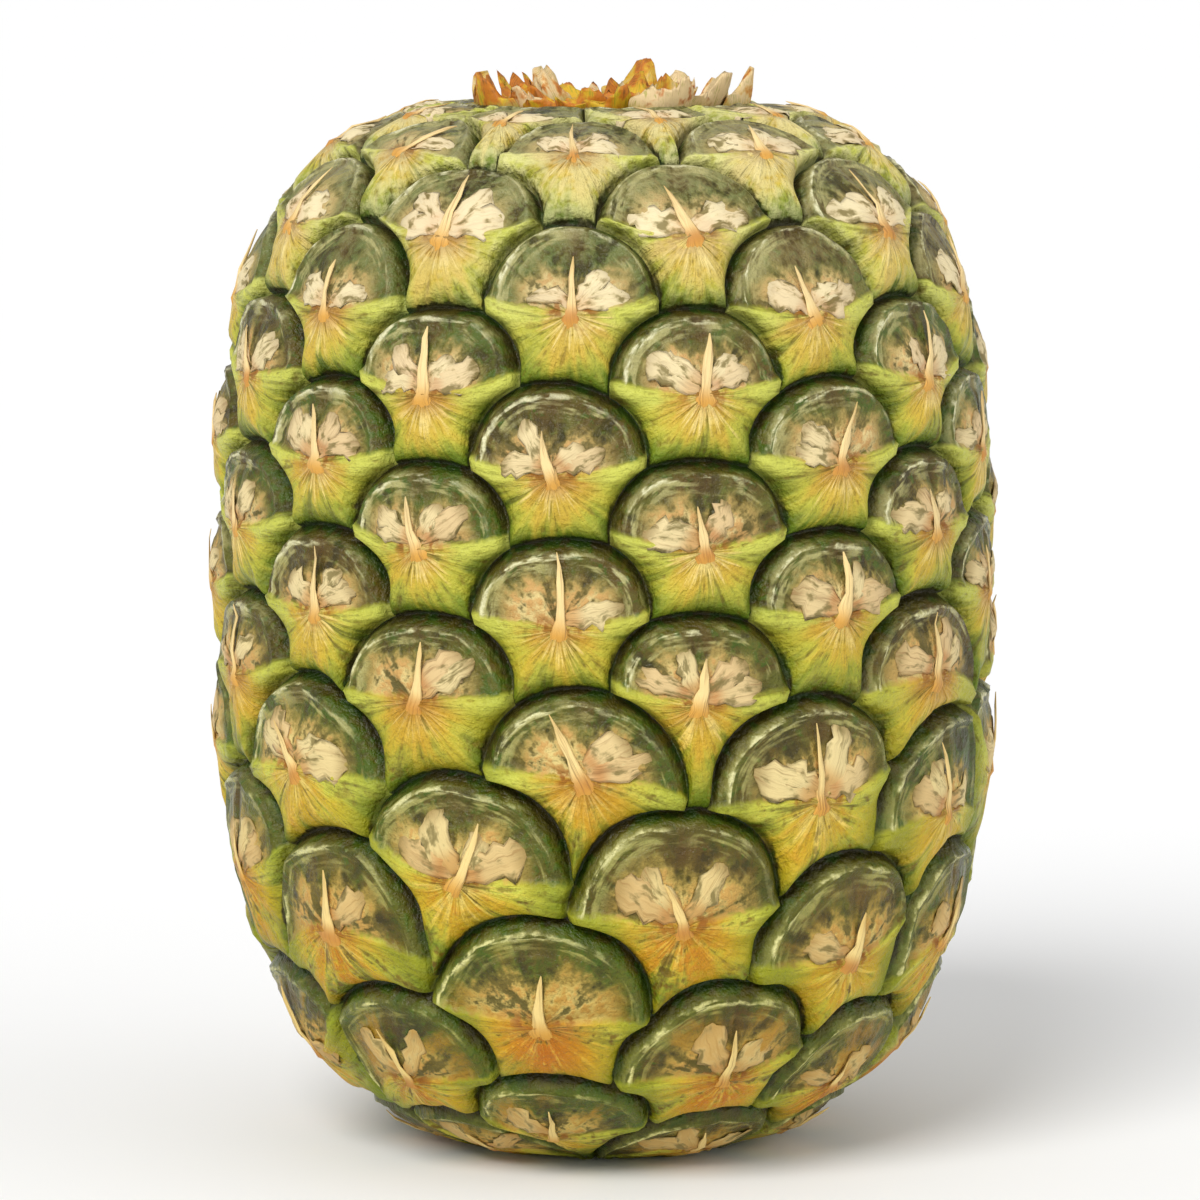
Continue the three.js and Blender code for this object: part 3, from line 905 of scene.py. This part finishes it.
# %% Age the eyes with height
AGE = paint_box(dusty_dome=(162, 154, 104), golden_dome=(160, 118, 34), mossy_rim=(84, 102, 22),
                gilt=(196, 160, 22), orange=(192, 102, 6), straw=(232, 192, 78),
                scorched=(112, 78, 8), leafy=(118, 134, 18), dusty_bract=(222, 214, 156))
RIPE = (0.98, 0.97, 0.6, 1)  # the light that the ripest skin, near the foot, gives back


def age_dome(tree, eye, dome, dusty):
    streaks = (eye.rays * 0.9 + eye.medium * 0.2).ramp(0.5, 0.68)
    rim = (eye.edge + (eye.medium - 0.5) * 8.0).ramp(5.5, 1.5)
    return coats(tree, AGE, dome,
                 dusty_dome=dusty * 0.6,
                 golden_dome=eye.height.ramp(0.055, 0.015) * streaks * eye.edge.ramp(1.5, 5.0) * 0.75,
                 mossy_rim=eye.height.ramp(0.09, 0.02) * rim * 0.5)


def age_bract(tree, eye, bract, dusty):
    u, v, height, medium, rays = eye.u, eye.v, eye.height, eye.medium, eye.rays
    warm = (rays * 0.6 + medium * 0.5 + eye.gold * 0.25).ramp(0.6, 0.8)
    strands = (eye.fibres * 0.6 + medium * 0.4).ramp(0.52, 0.62)
    straw = height.ramp(0.1, 0.02) * v.hump(-2.5, 4.5) * u.hump(0.0, 7.0) * strands
    arms = (u.size() + (rays - 0.5) * 14.0).ramp(5.5, 10.0)
    return coats(tree, AGE, bract,
                 gilt=height.ramp(0.1, 0.03) * v.hump(-3.5, 8.0) * rays.ramp(0.4, 0.6) * 0.8,
                 orange=height.ramp(0.09, 0.012) * warm * v.hump(-3.0, 6.0) * u.hump(0.0, 5.6) * 0.9,
                 straw=straw * 0.8,
                 scorched=height.ramp(0.1, 0.02) * (rays * 0.6 + medium * 0.5).ramp(0.5, 0.4) * 0.85,
                 leafy=height.ramp(0.11, 0.03) * arms * 0.75,
                 dusty_bract=dusty * 0.62)


print("paints for age:", len(AGE))

# %% [markdown]
# ## Grooves, glints and the whole rind
# What parts the eyes goes on last, over dome and bract alike: rust spots beside the tip, a thin
# pale line of painted highlight just inside the rim, brighter towards the upper left where the light
# comes from, painted shade on the groove's wall, brown in places and green in others, and a crisp,
# nearly black line of painted shade at its floor; the groove's dark is partly the skin's own colour
# too. The dome is waxier than its dry lobes, so roughness follows the same masks, and a little bump
# raises the fibres.

# %% Paint the rind
# The groove's browns, greens and near-blacks below stand for painted shade, partly the skin's own
# dark; the pale line for the rim is a painted highlight.
GROOVE = paint_box(rust=(142, 84, 18), gloss=(222, 218, 176), brown=(64, 57, 16),
                   green=(50, 74, 14), black_brown=(42, 37, 12), black_green=(32, 52, 10),
                   grain=(80, 70, 16))


def paint_grooves(tree, eye, colour):
    """Spots, a painted highlight line, painted groove shade and grain; returns the colour and the mask
    of the highlight line.
    """
    v, edge, over, coarse, medium = eye.v, eye.edge, eye.over, eye.coarse, eye.medium
    spots = eye.u.size().hump(2.0, 1.5) * v.hump(0.4, 1.1) * medium.ramp(0.38, 0.58)
    frayed = edge + (medium - 0.5) * 1.6 + (eye.rays - 0.5) * 1.4
    # Painted highlight: a thin pale line just inside the rim, stronger towards the upper left where
    # the light comes from.
    gloss = frayed.hump(2.5, 0.42) * over * (eye.bands * 0.7 + medium * 0.3).ramp(0.47, 0.57)
    lit = (eye.u * -0.05 + 0.7).ramp(0.0, 1.1)
    colour = coats(tree, GROOVE, colour, rust=spots * 0.9, gloss=gloss * lit * 0.9)

    # Painted shade on the groove's wall, weaker down the flanks, and fainter on the bract's side of
    # the groove.
    wall = over * (frayed + v.ramp(6.5, 1.0)).ramp(2.3, 0.8) * (v.ramp(0.0, 7.0) * 0.5 + 0.5)
    shade = wall + over.flip() * frayed.ramp(1.0, 0.1) * 0.5
    deep = blend(tree, GROOVE["brown"], GROOVE["green"], coarse.ramp(0.47, 0.57))
    colour = blend(tree, colour, deep, shade * 0.8)
    # Painted shade: a nearly black line at the groove's floor, over the dome's arch and under the
    # bract.
    border = edge + (medium - 0.5) * 1.2
    arch = border.ramp(1.2, 0.6) * over * (v.ramp(0.5, 5.0) * 0.7 + 0.3)
    under = border.ramp(0.7, 0.3) * v.ramp(-2.5, -6.0)
    deepest = blend(tree, GROOVE["black_brown"], GROOVE["black_green"], coarse.ramp(0.46, 0.56))
    colour = blend(tree, colour, deepest, arch.greatest(under) * 0.9)
    grain = (eye.fibres * 0.5 + eye.rays * 0.5).ramp(0.46, 0.34)
    return coats(tree, GROOVE, colour, grain=grain * 0.5), gloss


def rind_material():
    material, tree, shader = new_material("rind")
    eye = read_eye(tree)
    dusty = (eye.medium * 0.6 + eye.rays * 0.6).ramp(0.46, 0.68) * eye.height.ramp(0.118, 0.158)
    dome, lobes = paint_dome(tree, eye)
    dome = age_dome(tree, eye, dome, dusty)
    bract = age_bract(tree, eye, paint_bract(tree, eye), dusty)
    colour, gloss = paint_grooves(tree, eye, blend(tree, bract, dome, eye.over))
    colour = blend(tree, colour, RIPE, eye.height.ramp(0.12, 0.01), "MULTIPLY")
    tree.links.new(colour, shader.inputs["Base Color"])

    dry = lobes * eye.over * 0.26 + (eye.fine - 0.5) * 0.2
    (dry + eye.over * -0.14 + gloss * -0.12 + 0.46).feed(shader.inputs["Roughness"])
    shader.inputs["Specular IOR Level"].default_value = 0.28
    relief = eye.fibres * eye.over.flip() * 1.3 + eye.rays * 1.2 + eye.fine * 0.35
    bump(tree, shader, relief + eye.medium * 1.3, 0.8 * MM, 0.8)
    return material


rind.data.materials.append(rind_material())
print("nodes in the rind's finish:", len(rind.data.materials[0].node_tree.nodes))

# %% [markdown]
# ## The two ends
# Underneath, the stalk has been cut a little short: pale wood with the dots of its fibre bundles, a
# brown dried edge, a dark ring where it meets the rind, and a flat ring of skin that the fruit
# stands on. On top, the crown's scar is rough dry pith. Both are patterns of the distance from the
# fruit's axis, with streaks that run out like spokes, so Object coordinates are enough.

# %% Finish the cut stalk and the scar
END = paint_box(bundle=(122, 84, 42), skin_green=(96, 112, 20), skin_brown=(112, 88, 28),
                stain=(92, 68, 30))
ENDS = (  # name, radii in millimetres, and paints
    {"name": "cut_stalk", "edge_radius": 9.5, "ring_radius": 11.3,
     **paint_box(middle=(222, 198, 146), edge=(176, 132, 78), ring=(72, 50, 24),
                 outside=(150, 138, 62))},
    {"name": "crown_scar", "edge_radius": 13, "ring_radius": 16,
     **paint_box(middle=(206, 178, 122), edge=(188, 146, 78), ring=(140, 104, 44),
                 outside=(170, 154, 76))},
)


def end_material(name, middle, edge, edge_radius, ring, ring_radius, outside):
    """A cut end: middle and dried edge, a dark ring, and the skin outside."""
    material, tree, shader = new_material(name)
    place = tree.nodes.new("ShaderNodeTexCoord").outputs["Object"]
    x, y, _ = split(tree, place)
    coarse, bundles = noise(tree, place, 330), noise(tree, place, 1500, 2.0)
    away = (x * x + y * y).math("SQRT").greatest(1e-4)
    across, up = x.math("DIVIDE", away), y.math("DIVIDE", away)
    spokes = noise(tree, gather(tree, across * 7.0, up * 7.0, away * 60.0), 1.0, 3.0)
    radius = away * (1 / MM) + (coarse - 0.5) * 2.0 + (spokes - 0.5) * 2.5
    past_ring = radius.ramp(ring_radius, ring_radius + 2.5)
    wood = blend(tree, middle, edge, radius.ramp(edge_radius * 0.55, edge_radius))
    wood = coats(tree, END, wood, bundle=bundles.ramp(0.56, 0.66) * 0.7)
    skin = coats(tree, END, outside, skin_green=spokes.ramp(0.5, 0.6) * 0.8,
                 skin_brown=spokes.ramp(0.46, 0.36) * 0.8)
    colour = blend(tree, wood, skin, past_ring)
    colour = blend(tree, colour, ring, radius.hump(ring_radius, 1.6) * 0.9)
    colour = coats(tree, END, colour, stain=coarse.ramp(0.52, 0.68) * 0.5)
    tree.links.new(colour, shader.inputs["Base Color"])
    (bundles * 0.3 + 0.55).feed(shader.inputs["Roughness"])
    bump(tree, shader, bundles + coarse * 1.5 + spokes * past_ring * 2.5, 0.7 * MM, 0.7)
    return material


for end in ENDS:
    rind.data.materials.append(end_material(**end))
print("finishes of the rind:", [material.name for material in rind.data.materials])

# %% [markdown]
# ## Dry tips and wings
# Every bract ends in a dry point that leans up over the dome. Beside it lie the withered sepals of
# the flower that once stood there, up to two on each side, like the wings of a moth. All of them
# are thin flat blades, a long one and a round one. Each is modelled from a small ring that
# is extruded again and again, a little wider or narrower each time. The blade is drawn on a flat
# sheet where x runs across the eye, y up it, and z out of it, in millimetres.

# %% Model the two blades
TIP_SECTIONS = (  # y, z, half width and half thickness
    (-3.4, -1.1, 3.4, 0.3), (-2.0, -0.45, 2.9, 0.35), (-0.6, -0.02, 2.1, 0.35),
    (1.0, 0.25, 1.35, 0.28), (3.0, 0.45, 0.95, 0.24), (5.0, 0.6, 0.75, 0.2),
    (6.6, 0.85, 0.5, 0.16), (8.0, 1.05, 0.12, 0.07),
)
WING_SECTIONS = (
    (-1.2, -0.5, 0.7, 0.12), (0.0, 0.0, 1.0, 0.17), (1.0, 0.1, 1.3, 0.19), (2.0, 0.14, 1.6, 0.19),
    (3.0, 0.16, 1.9, 0.19), (4.0, 0.16, 2.1, 0.18), (4.9, 0.14, 2.1, 0.16), (5.7, 0.1, 1.8, 0.14),
    (6.3, 0.06, 1.3, 0.12), (6.8, 0.02, 0.5, 0.1),
)
BLADE_SIDES = 8  # corners of the ring that a blade is extruded from


def blade_template(sections):
    """A flat blade along y, extruded section by section from a ring."""
    (y, z, width, thickness), *others = sections
    bpy.ops.object.select_all(action="DESELECT")
    bpy.ops.mesh.primitive_circle_add(vertices=BLADE_SIDES, radius=1, fill_type="NGON",
                                      location=(0, 0, 0))
    template = bpy.context.object
    bpy.ops.object.mode_set(mode="EDIT")
    bpy.ops.mesh.select_all(action="SELECT")
    bpy.ops.transform.rotate(value=math.pi / 2, orient_axis="X", center_override=(0, 0, 0))
    bpy.ops.transform.resize(value=(width, 1, thickness))
    bpy.ops.transform.translate(value=(0, y, z))
    for next_y, next_z, next_width, next_thickness in others:
        bpy.ops.mesh.extrude_region_move(TRANSFORM_OT_translate={"value": (0, next_y - y, next_z - z)})
        bpy.ops.transform.resize(value=(next_width / width, 1, next_thickness / thickness))
        y, z, width, thickness = next_y, next_z, next_width, next_thickness
    bpy.ops.mesh.select_all(action="SELECT")
    bpy.ops.mesh.normals_make_consistent(inside=False)
    bpy.ops.object.mode_set(mode="OBJECT")
    return template


tip_blade, wing_blade = blade_template(TIP_SECTIONS), blade_template(WING_SECTIONS)
print("points in a tip and in a wing:", len(tip_blade.data.vertices), len(wing_blade.data.vertices))

# %% [markdown]
# ## Laying a blade on an eye
# A blade is copied point by point. Its flat drawing goes through the same chart as the eyes
# themselves, and the relief of the eye is added to its height, so it hugs the dome. Each copy gets
# a turn, a length, a width, ragged edges and a bend of its own. Roots are sunk into the rind.

# %% Lay one blade on one eye
RAGGED = 0.36  # how far the edges of a blade stray, as a share of its width
TURN_STRAY = 7  # degrees that a blade turns aside, and like the others times its own stray
LENGTH_STRAY, WIDTH_STRAY = 0.2, 0.25  # shares of the length and the width
BEND_STRAY = 0.7  # millimetres that its point bends aside
PROUDEST = 1.9  # millimetres that a blade may stand over the skin


def mesh_arrays(mesh):
    points = np.empty(len(mesh.vertices) * 3)
    mesh.vertices.foreach_get("co", points)
    return points.reshape(-1, 3), [list(face.vertices) for face in mesh.polygons]


def eye_lift(index, u, v):
    """Height of the relief at any place of an eye, in its own millimetres."""
    across, rise, border_reach = eye_reach(index)
    turn = np.arctan2(rise, across)
    order = np.argsort(turn)
    way = np.arctan2(v, u)
    reach = np.interp(way, turn[order], border_reach[order], period=math.tau)
    deep = np.interp(way, turn[order], eye_borders[index][3][order], period=math.tau)
    return eye_relief(u, v, np.maximum(reach - np.hypot(u, v), 0), deep, eye_traits[index])


def ragged_edges(blade, chance):
    """A share of the width for each section of a blade, one at each edge."""
    sections, section = np.unique(blade[:, 1].round(6), return_inverse=True)
    left, right = [[chance.uniform(1 - RAGGED, 1 + RAGGED) for _ in sections] for _ in range(2)]
    return np.where(blade[:, 0] < 0, np.array(left)[section], np.array(right)[section])


def lay_blade(blade, index, kind, chance):
    """Places one blade on an eye; returns its points and how far along it each lies."""
    angle, climb, scale = middles[index]
    size = math.sqrt(scale / SKIN_RADIUS)
    span = eye_traits[index]["span"]
    stray = kind["stray"]
    turn = math.radians(kind["turn"] + chance.gauss(0, TURN_STRAY) * stray)
    length = kind["length"] * (1 + chance.uniform(-LENGTH_STRAY, LENGTH_STRAY) * stray)
    width = kind["width"] * (1 + chance.uniform(-WIDTH_STRAY, WIDTH_STRAY))
    root, top = blade[:, 1].min(), blade[:, 1].max()
    along = np.clip(blade[:, 1] / top, 0, 1)
    x = blade[:, 0] * width * ragged_edges(blade, chance)
    x += chance.gauss(0, BEND_STRAY) * stray * along ** 2
    y = blade[:, 1] * np.where(blade[:, 1] > 0, length, 0.8)
    u = (kind["root"][0] + x * math.cos(turn) - y * math.sin(turn)) * span
    v = (kind["root"][1] + x * math.sin(turn) + y * math.cos(turn)) * span
    lift = eye_lift(index, u, v) + blade[:, 2] * (0.7 + 0.3 * length)
    lift += chance.uniform(-0.1, 0.25) * along * np.sin(along * 5 + blade[:, 0])  # warped as it dried
    unit = size * MM / scale
    lift = np.minimum(lift * size, PROUDEST) * MM
    points = skin_points(angle + u * unit, climb - NAVEL_DROP / scale + v * unit, lift)
    return points, (blade[:, 1] - root) / (top - root)


highest = max(eye_lift(0, np.zeros(9), np.linspace(0, 8, 9)))
print("the first dome stands over the skin by", round(float(highest), 2), "of its own millimetres")

# %% [markdown]
# ## Tips and wings on every eye
# One point stands on every bract. Most wings have lasted on the upper eyes, but near the foot,
# where the fruit lay and was rubbed, more than half have worn off. All blades join one piece
# that rides with the fruit, and each of its points knows how far along its blade it lies.

# %% Lay tips and wings on every eye
# The place of the root, the turn in degrees, length and width as shares of the model's, and how
# far all of these stray.
POINT = {"blade": tip_blade, "root": (0.0, -0.2), "turn": 0, "length": 0.9, "width": 0.56,
         "stray": 1.7}
UPPER_WING = {"blade": wing_blade, "length": 0.85, "width": 0.8, "stray": 1.3}
LOWER_WING = {"blade": wing_blade, "length": 1.0, "width": 0.85, "stray": 1.0}
WINGS = (
    {**LOWER_WING, "root": (-0.7, 1.2), "turn": 74}, {**LOWER_WING, "root": (0.7, 1.2), "turn": -74},
    {**UPPER_WING, "root": (-0.5, 1.4), "turn": 44}, {**UPPER_WING, "root": (0.5, 1.4), "turn": -44},
)
WING_MISSING = 0.16  # share of the wings that have worn off
LOW_WING_MISSING = 0.6  # the same near the foot
LOW = (24, 52)  # millimetres: the height at which the wear near the foot is full, and ends


def piece_from(name, points, faces, facts_name, facts):
    """A smooth-shaded object that rides with the fruit, with one fact vector per point."""
    mesh = bpy.data.meshes.new(name)
    mesh.from_pydata(points.tolist(), [], faces)
    note(mesh, facts_name, "FLOAT_VECTOR", "POINT", facts)
    piece = smooth_object(mesh)
    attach(piece, BODY)
    return piece


def lay_blades():
    chance = random.Random(11)
    points, faces, facts, count = [], [], [], 0
    shapes = {kind["blade"].name: mesh_arrays(kind["blade"].data) for kind in (POINT, *WINGS)}
    for index, (angle, climb, _) in enumerate(middles):
        height = skin_points(np.array([angle]), np.array([climb]), np.zeros(1))[0, 2] / MM
        missing = LOW_WING_MISSING + (WING_MISSING - LOW_WING_MISSING) * ramp(*LOW, height)
        for kind in (*WINGS, POINT):
            if kind is not POINT and chance.random() < missing:
                continue
            blade, blade_faces = shapes[kind["blade"].name]
            laid, along = lay_blade(blade, index, kind, chance)
            points.append(laid)
            tone = chance.random() + (0 if kind is POINT else 2)
            facts.append(np.stack([blade[:, 0], along, tone + 0 * along], axis=1))
            faces += [[corner + count for corner in face] for face in blade_faces]
            count += len(blade)
    return np.concatenate(points), faces, np.concatenate(facts)


points, faces, facts = lay_blades()
tips = piece_from("dry_tips", points, faces, "blade_place", facts)
for template in (tip_blade, wing_blade):
    bpy.data.objects.remove(template)
print("faces of the tips and wings:", len(tips.data.polygons))

# %% [markdown]
# ## Torn leaf stubs
# Where the crown was twisted off, the bases of its leaves are left standing: short, curved round
# the scar, thick at the root and thin and ragged at the top. One stub is a cube that is cut finer,
# bent, and torn column by column by pulling its top down. The stubs follow the golden angle, as
# the leaves did, in the places, with the lengths and the leans of the solid's.

# %% Tear the stubs
STUBS = 28
FIRST_STUB = 6  # the golden spiral's first turns lie bare in the middle of the scar
STUB_SPREAD = 3.6  # millimetres from the axis, times the root of a stub's number
STUB_LENGTHS = (2.5, 6.5)  # millimetres, the shortest and the longest
STUB_LEANS = (0.1, 0.7)  # radians that they lean out
STUB_WIDTH = 10.4  # millimetres, like the next two
STUB_THICKNESS = 2.9
STUB_ROOT = 2.5  # how deep they are sunk into the scar
STUB_CURVE = 0.045  # how far they bend round the scar, per millimetre of half width squared
STUB_CUTS = 10  # across a cube's edge
GOLDEN_ANGLE = math.pi * (3 - math.sqrt(5))


def stub_template():
    """A block one unit in every direction, standing on z = 0, cut into small squares."""
    bpy.ops.object.select_all(action="DESELECT")
    bpy.ops.mesh.primitive_cube_add(size=1, location=(0, 0, 0.5))
    template = bpy.context.object
    bpy.ops.object.transform_apply(location=True)
    bpy.ops.object.mode_set(mode="EDIT")
    bpy.ops.mesh.select_all(action="SELECT")
    bpy.ops.mesh.subdivide(number_cuts=STUB_CUTS)
    bpy.ops.object.mode_set(mode="OBJECT")
    return template


def shape_stub(block, length, lean, chance):
    """Bends, tapers and tears one block; returns its points in millimetres, x across, y inwards."""
    across, depth, up = block[:, 0] * 2, block[:, 1] * 2, block[:, 2]
    columns = np.linspace(-1, 1, STUB_CUTS + 2)

    def by_column():
        """A number from -1 to 1 for every column of the block."""
        return np.interp(across, columns, [chance.uniform(-1, 1) for _ in columns])

    torn, ribbed = by_column(), by_column()
    waves = np.sin(across * 3.5 + chance.uniform(0, 6)) + 0.14 * chance.uniform(-1, 1) * across
    # The share of the height that is torn away: most at the corners, in waves and by the column.
    tear = 0.14 * waves + 0.17 * torn - 0.2 - 0.28 * across ** 2 - 0.12 * depth
    tall = (length + STUB_ROOT) * up * (1 + np.minimum(tear, 0) * ramp(0.3, 1, up))
    narrow = (1 - 0.25 * up ** 3) * (1 - 0.12 * depth ** 2)  # towards the top, and at both faces
    x = across * STUB_WIDTH / 2 * narrow + 0.3 * np.sin(up * 7 + chance.uniform(0, 6))
    y = depth * STUB_THICKNESS / 2 * (1 - 0.65 * np.abs(across) ** 1.5) * (1 - 0.72 * up ** 2)
    y += STUB_CURVE * x ** 2 + 0.5 * np.sin(across * 4 + chance.uniform(0, 6)) * up + 0.2 * ribbed
    z = tall - STUB_ROOT
    leant = z * math.cos(lean) + y * math.sin(lean)
    return np.stack([x, y * math.cos(lean) - z * math.sin(lean), leant], axis=1)


def tear_stubs(template):
    block, block_faces = mesh_arrays(template.data)
    numbers = stray_numbers(19)
    chance = random.Random(5)
    points, faces, facts = [], [], []
    for n in range(FIRST_STUB, FIRST_STUB + STUBS):
        length = STUB_LENGTHS[0] + (STUB_LENGTHS[1] - STUB_LENGTHS[0]) * next(numbers)
        lean = STUB_LEANS[0] + (STUB_LEANS[1] - STUB_LEANS[0]) * next(numbers)
        stub = shape_stub(block, length, lean, chance)
        turn = n * GOLDEN_ANGLE
        out = stub[:, 1] - STUB_SPREAD * math.sqrt(n)
        x = stub[:, 0] * math.cos(turn) - out * math.sin(turn)
        y = stub[:, 0] * math.sin(turn) + out * math.cos(turn)
        faces += [[corner + len(points) * len(block) for corner in face] for face in block_faces]
        points.append(np.stack([x, y, stub[:, 2] + SCAR_HEIGHT / MM], axis=1) * MM)
        tone = 0.5 + chance.uniform(-0.4, 0.4) - 0.3 * math.sin(turn)  # riper on the left
        facts.append(np.stack([stub[:, 0] + 7 * block[:, 1], block[:, 2], tone + 0 * x], axis=1))
    return np.concatenate(points), faces, np.concatenate(facts)


template = stub_template()
points, faces, facts = tear_stubs(template)
stubs = piece_from("crown_stubs", points, faces, "stub_place", facts)
bpy.data.objects.remove(template)
print("points in a stub:", len(stubs.data.vertices) // STUBS)

# %% [markdown]
# ## Finishes of the dry parts
# Dry plant matter is a bundle of fibres. One node group makes that grain: noise stretched along a
# chosen direction. The tips, the wings and the stubs share it, each with its own paints. Points
# are golden at the root, cream in the middle and straw at the end. Wings are like old paper,
# mottled with olive, and bleached near the top of the fruit. Stubs are pale where they broke,
# yellow to orange where they dried, and olive at the root.

# %% Finish the tips and the stubs
TIP = paint_box(golden=(212, 156, 62), cream=(236, 208, 146), straw=(206, 172, 104),
                stain=(180, 110, 40), fibre=(128, 88, 40))
WING = paint_box(root=(200, 158, 98), paper=(218, 198, 146), dull=(206, 174, 124),
                 end=(146, 122, 70), mottle=(112, 98, 42), low=(184, 142, 72),
                 bleached=(232, 218, 178))
STUB = paint_box(root=(176, 160, 78), pale=(228, 200, 150), yellow=(214, 172, 30),
                 orange=(196, 108, 18), olive=(150, 148, 28), fibre=(120, 84, 30),
                 stain=(112, 70, 24))


def fibre_group():
    """Grain of dry fibres: takes a place (x across, y along) and gives a value from 0 to 1."""
    group = bpy.data.node_groups.new("dry_fibre", "ShaderNodeTree")
    group.interface.new_socket("Place", in_out="INPUT", socket_type="NodeSocketVector")
    group.interface.new_socket("Grain", in_out="OUTPUT", socket_type="NodeSocketFloat")
    entry = group.nodes.new("NodeGroupInput")
    leave = group.nodes.new("NodeGroupOutput")
    across, along, seed = split(group, entry.outputs["Place"])
    grain = noise(group, gather(group, across * 3.2, along * 1.6, seed * 17.0), 1.0, 4.0, 0.6)
    grain.feed(leave.inputs["Grain"])
    return group


FIBRE = fibre_group()


def fibre_grain(tree, place):
    node = tree.nodes.new("ShaderNodeGroup")
    node.node_tree = FIBRE
    tree.links.new(place, node.inputs["Place"])
    return Signal(tree, node.outputs["Grain"])


def tip_material():
    """Points have a tone from 0 to 1, wings from 2 to 3."""
    material, tree, shader = new_material("dry_tip")
    place = attribute(tree, "blade_place")
    across, along, tone = split(tree, place)
    grain = fibre_grain(tree, place)
    wing = tone.ramp(1.2, 1.8)
    tone = tone - wing * 2.0
    point = coats(tree, TIP, TIP["golden"], cream=along.ramp(0.2, 0.5),
                  straw=along.ramp(0.6, 1.0) * tone)
    paper = coats(tree, WING, WING["root"], paper=along.ramp(0.25, 0.5),
                  dull=tone.ramp(0.3, 0.9) * 0.8, end=along.ramp(0.72, 1.0) * 0.8)
    stained = along.hump(0.28, 0.12) * (tone + grain - 0.5).ramp(0.3, 0.8)
    colour = coats(tree, TIP, blend(tree, point, paper, wing), stain=stained * 0.6,
                   fibre=grain.ramp(0.5, 0.72) * 0.6)
    mottle = noise(tree, gather(tree, across * 0.8, along * 3.4, tone * 31.0), 1.0, 4.0)
    height = split(tree, tree.nodes.new("ShaderNodeTexCoord").outputs["Object"])[2]
    colour = coats(tree, WING, colour,
                   mottle=wing * mottle.ramp(0.5, 0.34) * 0.85,
                   low=wing * height.ramp(0.07, 0.015) * mottle.ramp(0.3, 0.6) * 0.7,
                   bleached=wing * height.ramp(0.1, 0.145) * mottle.ramp(0.35, 0.55) * 0.6)
    colour = blend(tree, colour, RIPE, height.ramp(0.12, 0.01) * 0.6, "MULTIPLY")
    tree.links.new(colour, shader.inputs["Base Color"])
    (grain * 0.25 + 0.5).feed(shader.inputs["Roughness"])
    bump(tree, shader, grain, 0.3 * MM, 0.7)
    return material


def stub_material():
    material, tree, shader = new_material("torn_leaf")
    place = attribute(tree, "stub_place")
    across, up, tone = split(tree, place)
    grain = fibre_grain(tree, place)
    space = tree.nodes.new("ShaderNodeTexCoord").outputs["Object"]
    patchy = noise(tree, space, 420)
    dry = coats(tree, STUB, STUB["pale"],
                yellow=(tone + (patchy - 0.5) * 0.8).ramp(0.35, 0.6),
                orange=(patchy + tone * 0.2).ramp(0.56, 0.72) * 0.9,
                olive=(grain * 0.6 + patchy * 0.5).ramp(0.5, 0.4) * 0.7,
                fibre=(grain * 0.8 + up * 0.2).ramp(0.6, 0.76) * 0.6)
    colour = blend(tree, STUB["root"], dry, (up + (grain - 0.5) * 0.5).ramp(0.2, 0.5))
    colour = coats(tree, STUB, colour, stain=(patchy * 0.7 + grain * 0.4).ramp(0.6, 0.74) * 0.7)
    tree.links.new(colour, shader.inputs["Base Color"])
    (grain * 0.3 + 0.45).feed(shader.inputs["Roughness"])
    bump(tree, shader, grain + patchy * 0.6, 0.4 * MM, 0.6)
    return material


tips.data.materials.append(tip_material())
stubs.data.materials.append(stub_material())
print("finishes of the dry parts:", [piece.data.materials[0].name for piece in (tips, stubs)])

# %% [markdown]
# ## Floor, light and air
# A wide pale floor, a broad sun from the upper left in front, a weaker and lower one from the
# right that fills the far side, and a white sky. The suns' discs are made very large, which is
# what a soft box does: glints with soft edges on a waxy rind, and no hard shadow. Unlike a lamp
# that hangs near the fruit, they light the whole floor evenly.

# %% Set the stage
LIGHTS = (  # name, tilt from straight down and turn in degrees, strength, breadth in degrees
    ("broad_sun", 48, -28, 2.3, 32),
    ("side_fill", 72, 68, 0.75, 60),
)
for name, tilt, turn, strength, breadth in LIGHTS:
    bpy.ops.object.select_all(action="DESELECT")
    bpy.ops.object.light_add(type="SUN", location=(0, 0, 1),
                             rotation=(math.radians(tilt), 0, math.radians(turn)))
    lamp = bpy.context.object
    lamp.name = name
    lamp.data.energy = strength
    lamp.data.angle = math.radians(breadth)

sky = bpy.data.worlds.new("sky")
sky.use_nodes = True
sky.node_tree.nodes["Background"].inputs["Color"].default_value = (1, 1, 1, 1)
sky.node_tree.nodes["Background"].inputs["Strength"].default_value = 0.6
bpy.context.scene.world = sky

bpy.ops.object.select_all(action="DESELECT")
bpy.ops.mesh.primitive_plane_add(size=60, location=(0, 0, 0))
floor = bpy.context.object
floor.name = "floor"
material, tree, shader = new_material("pale_floor")
shader.inputs["Base Color"].default_value = (0.9, 0.9, 0.9, 1)
shader.inputs["Roughness"].default_value = 0.7
floor.data.materials.append(material)
bpy.context.scene.view_settings.view_transform = "Standard"
print("lights:", [name for name, *_ in LIGHTS])

# %% [markdown]
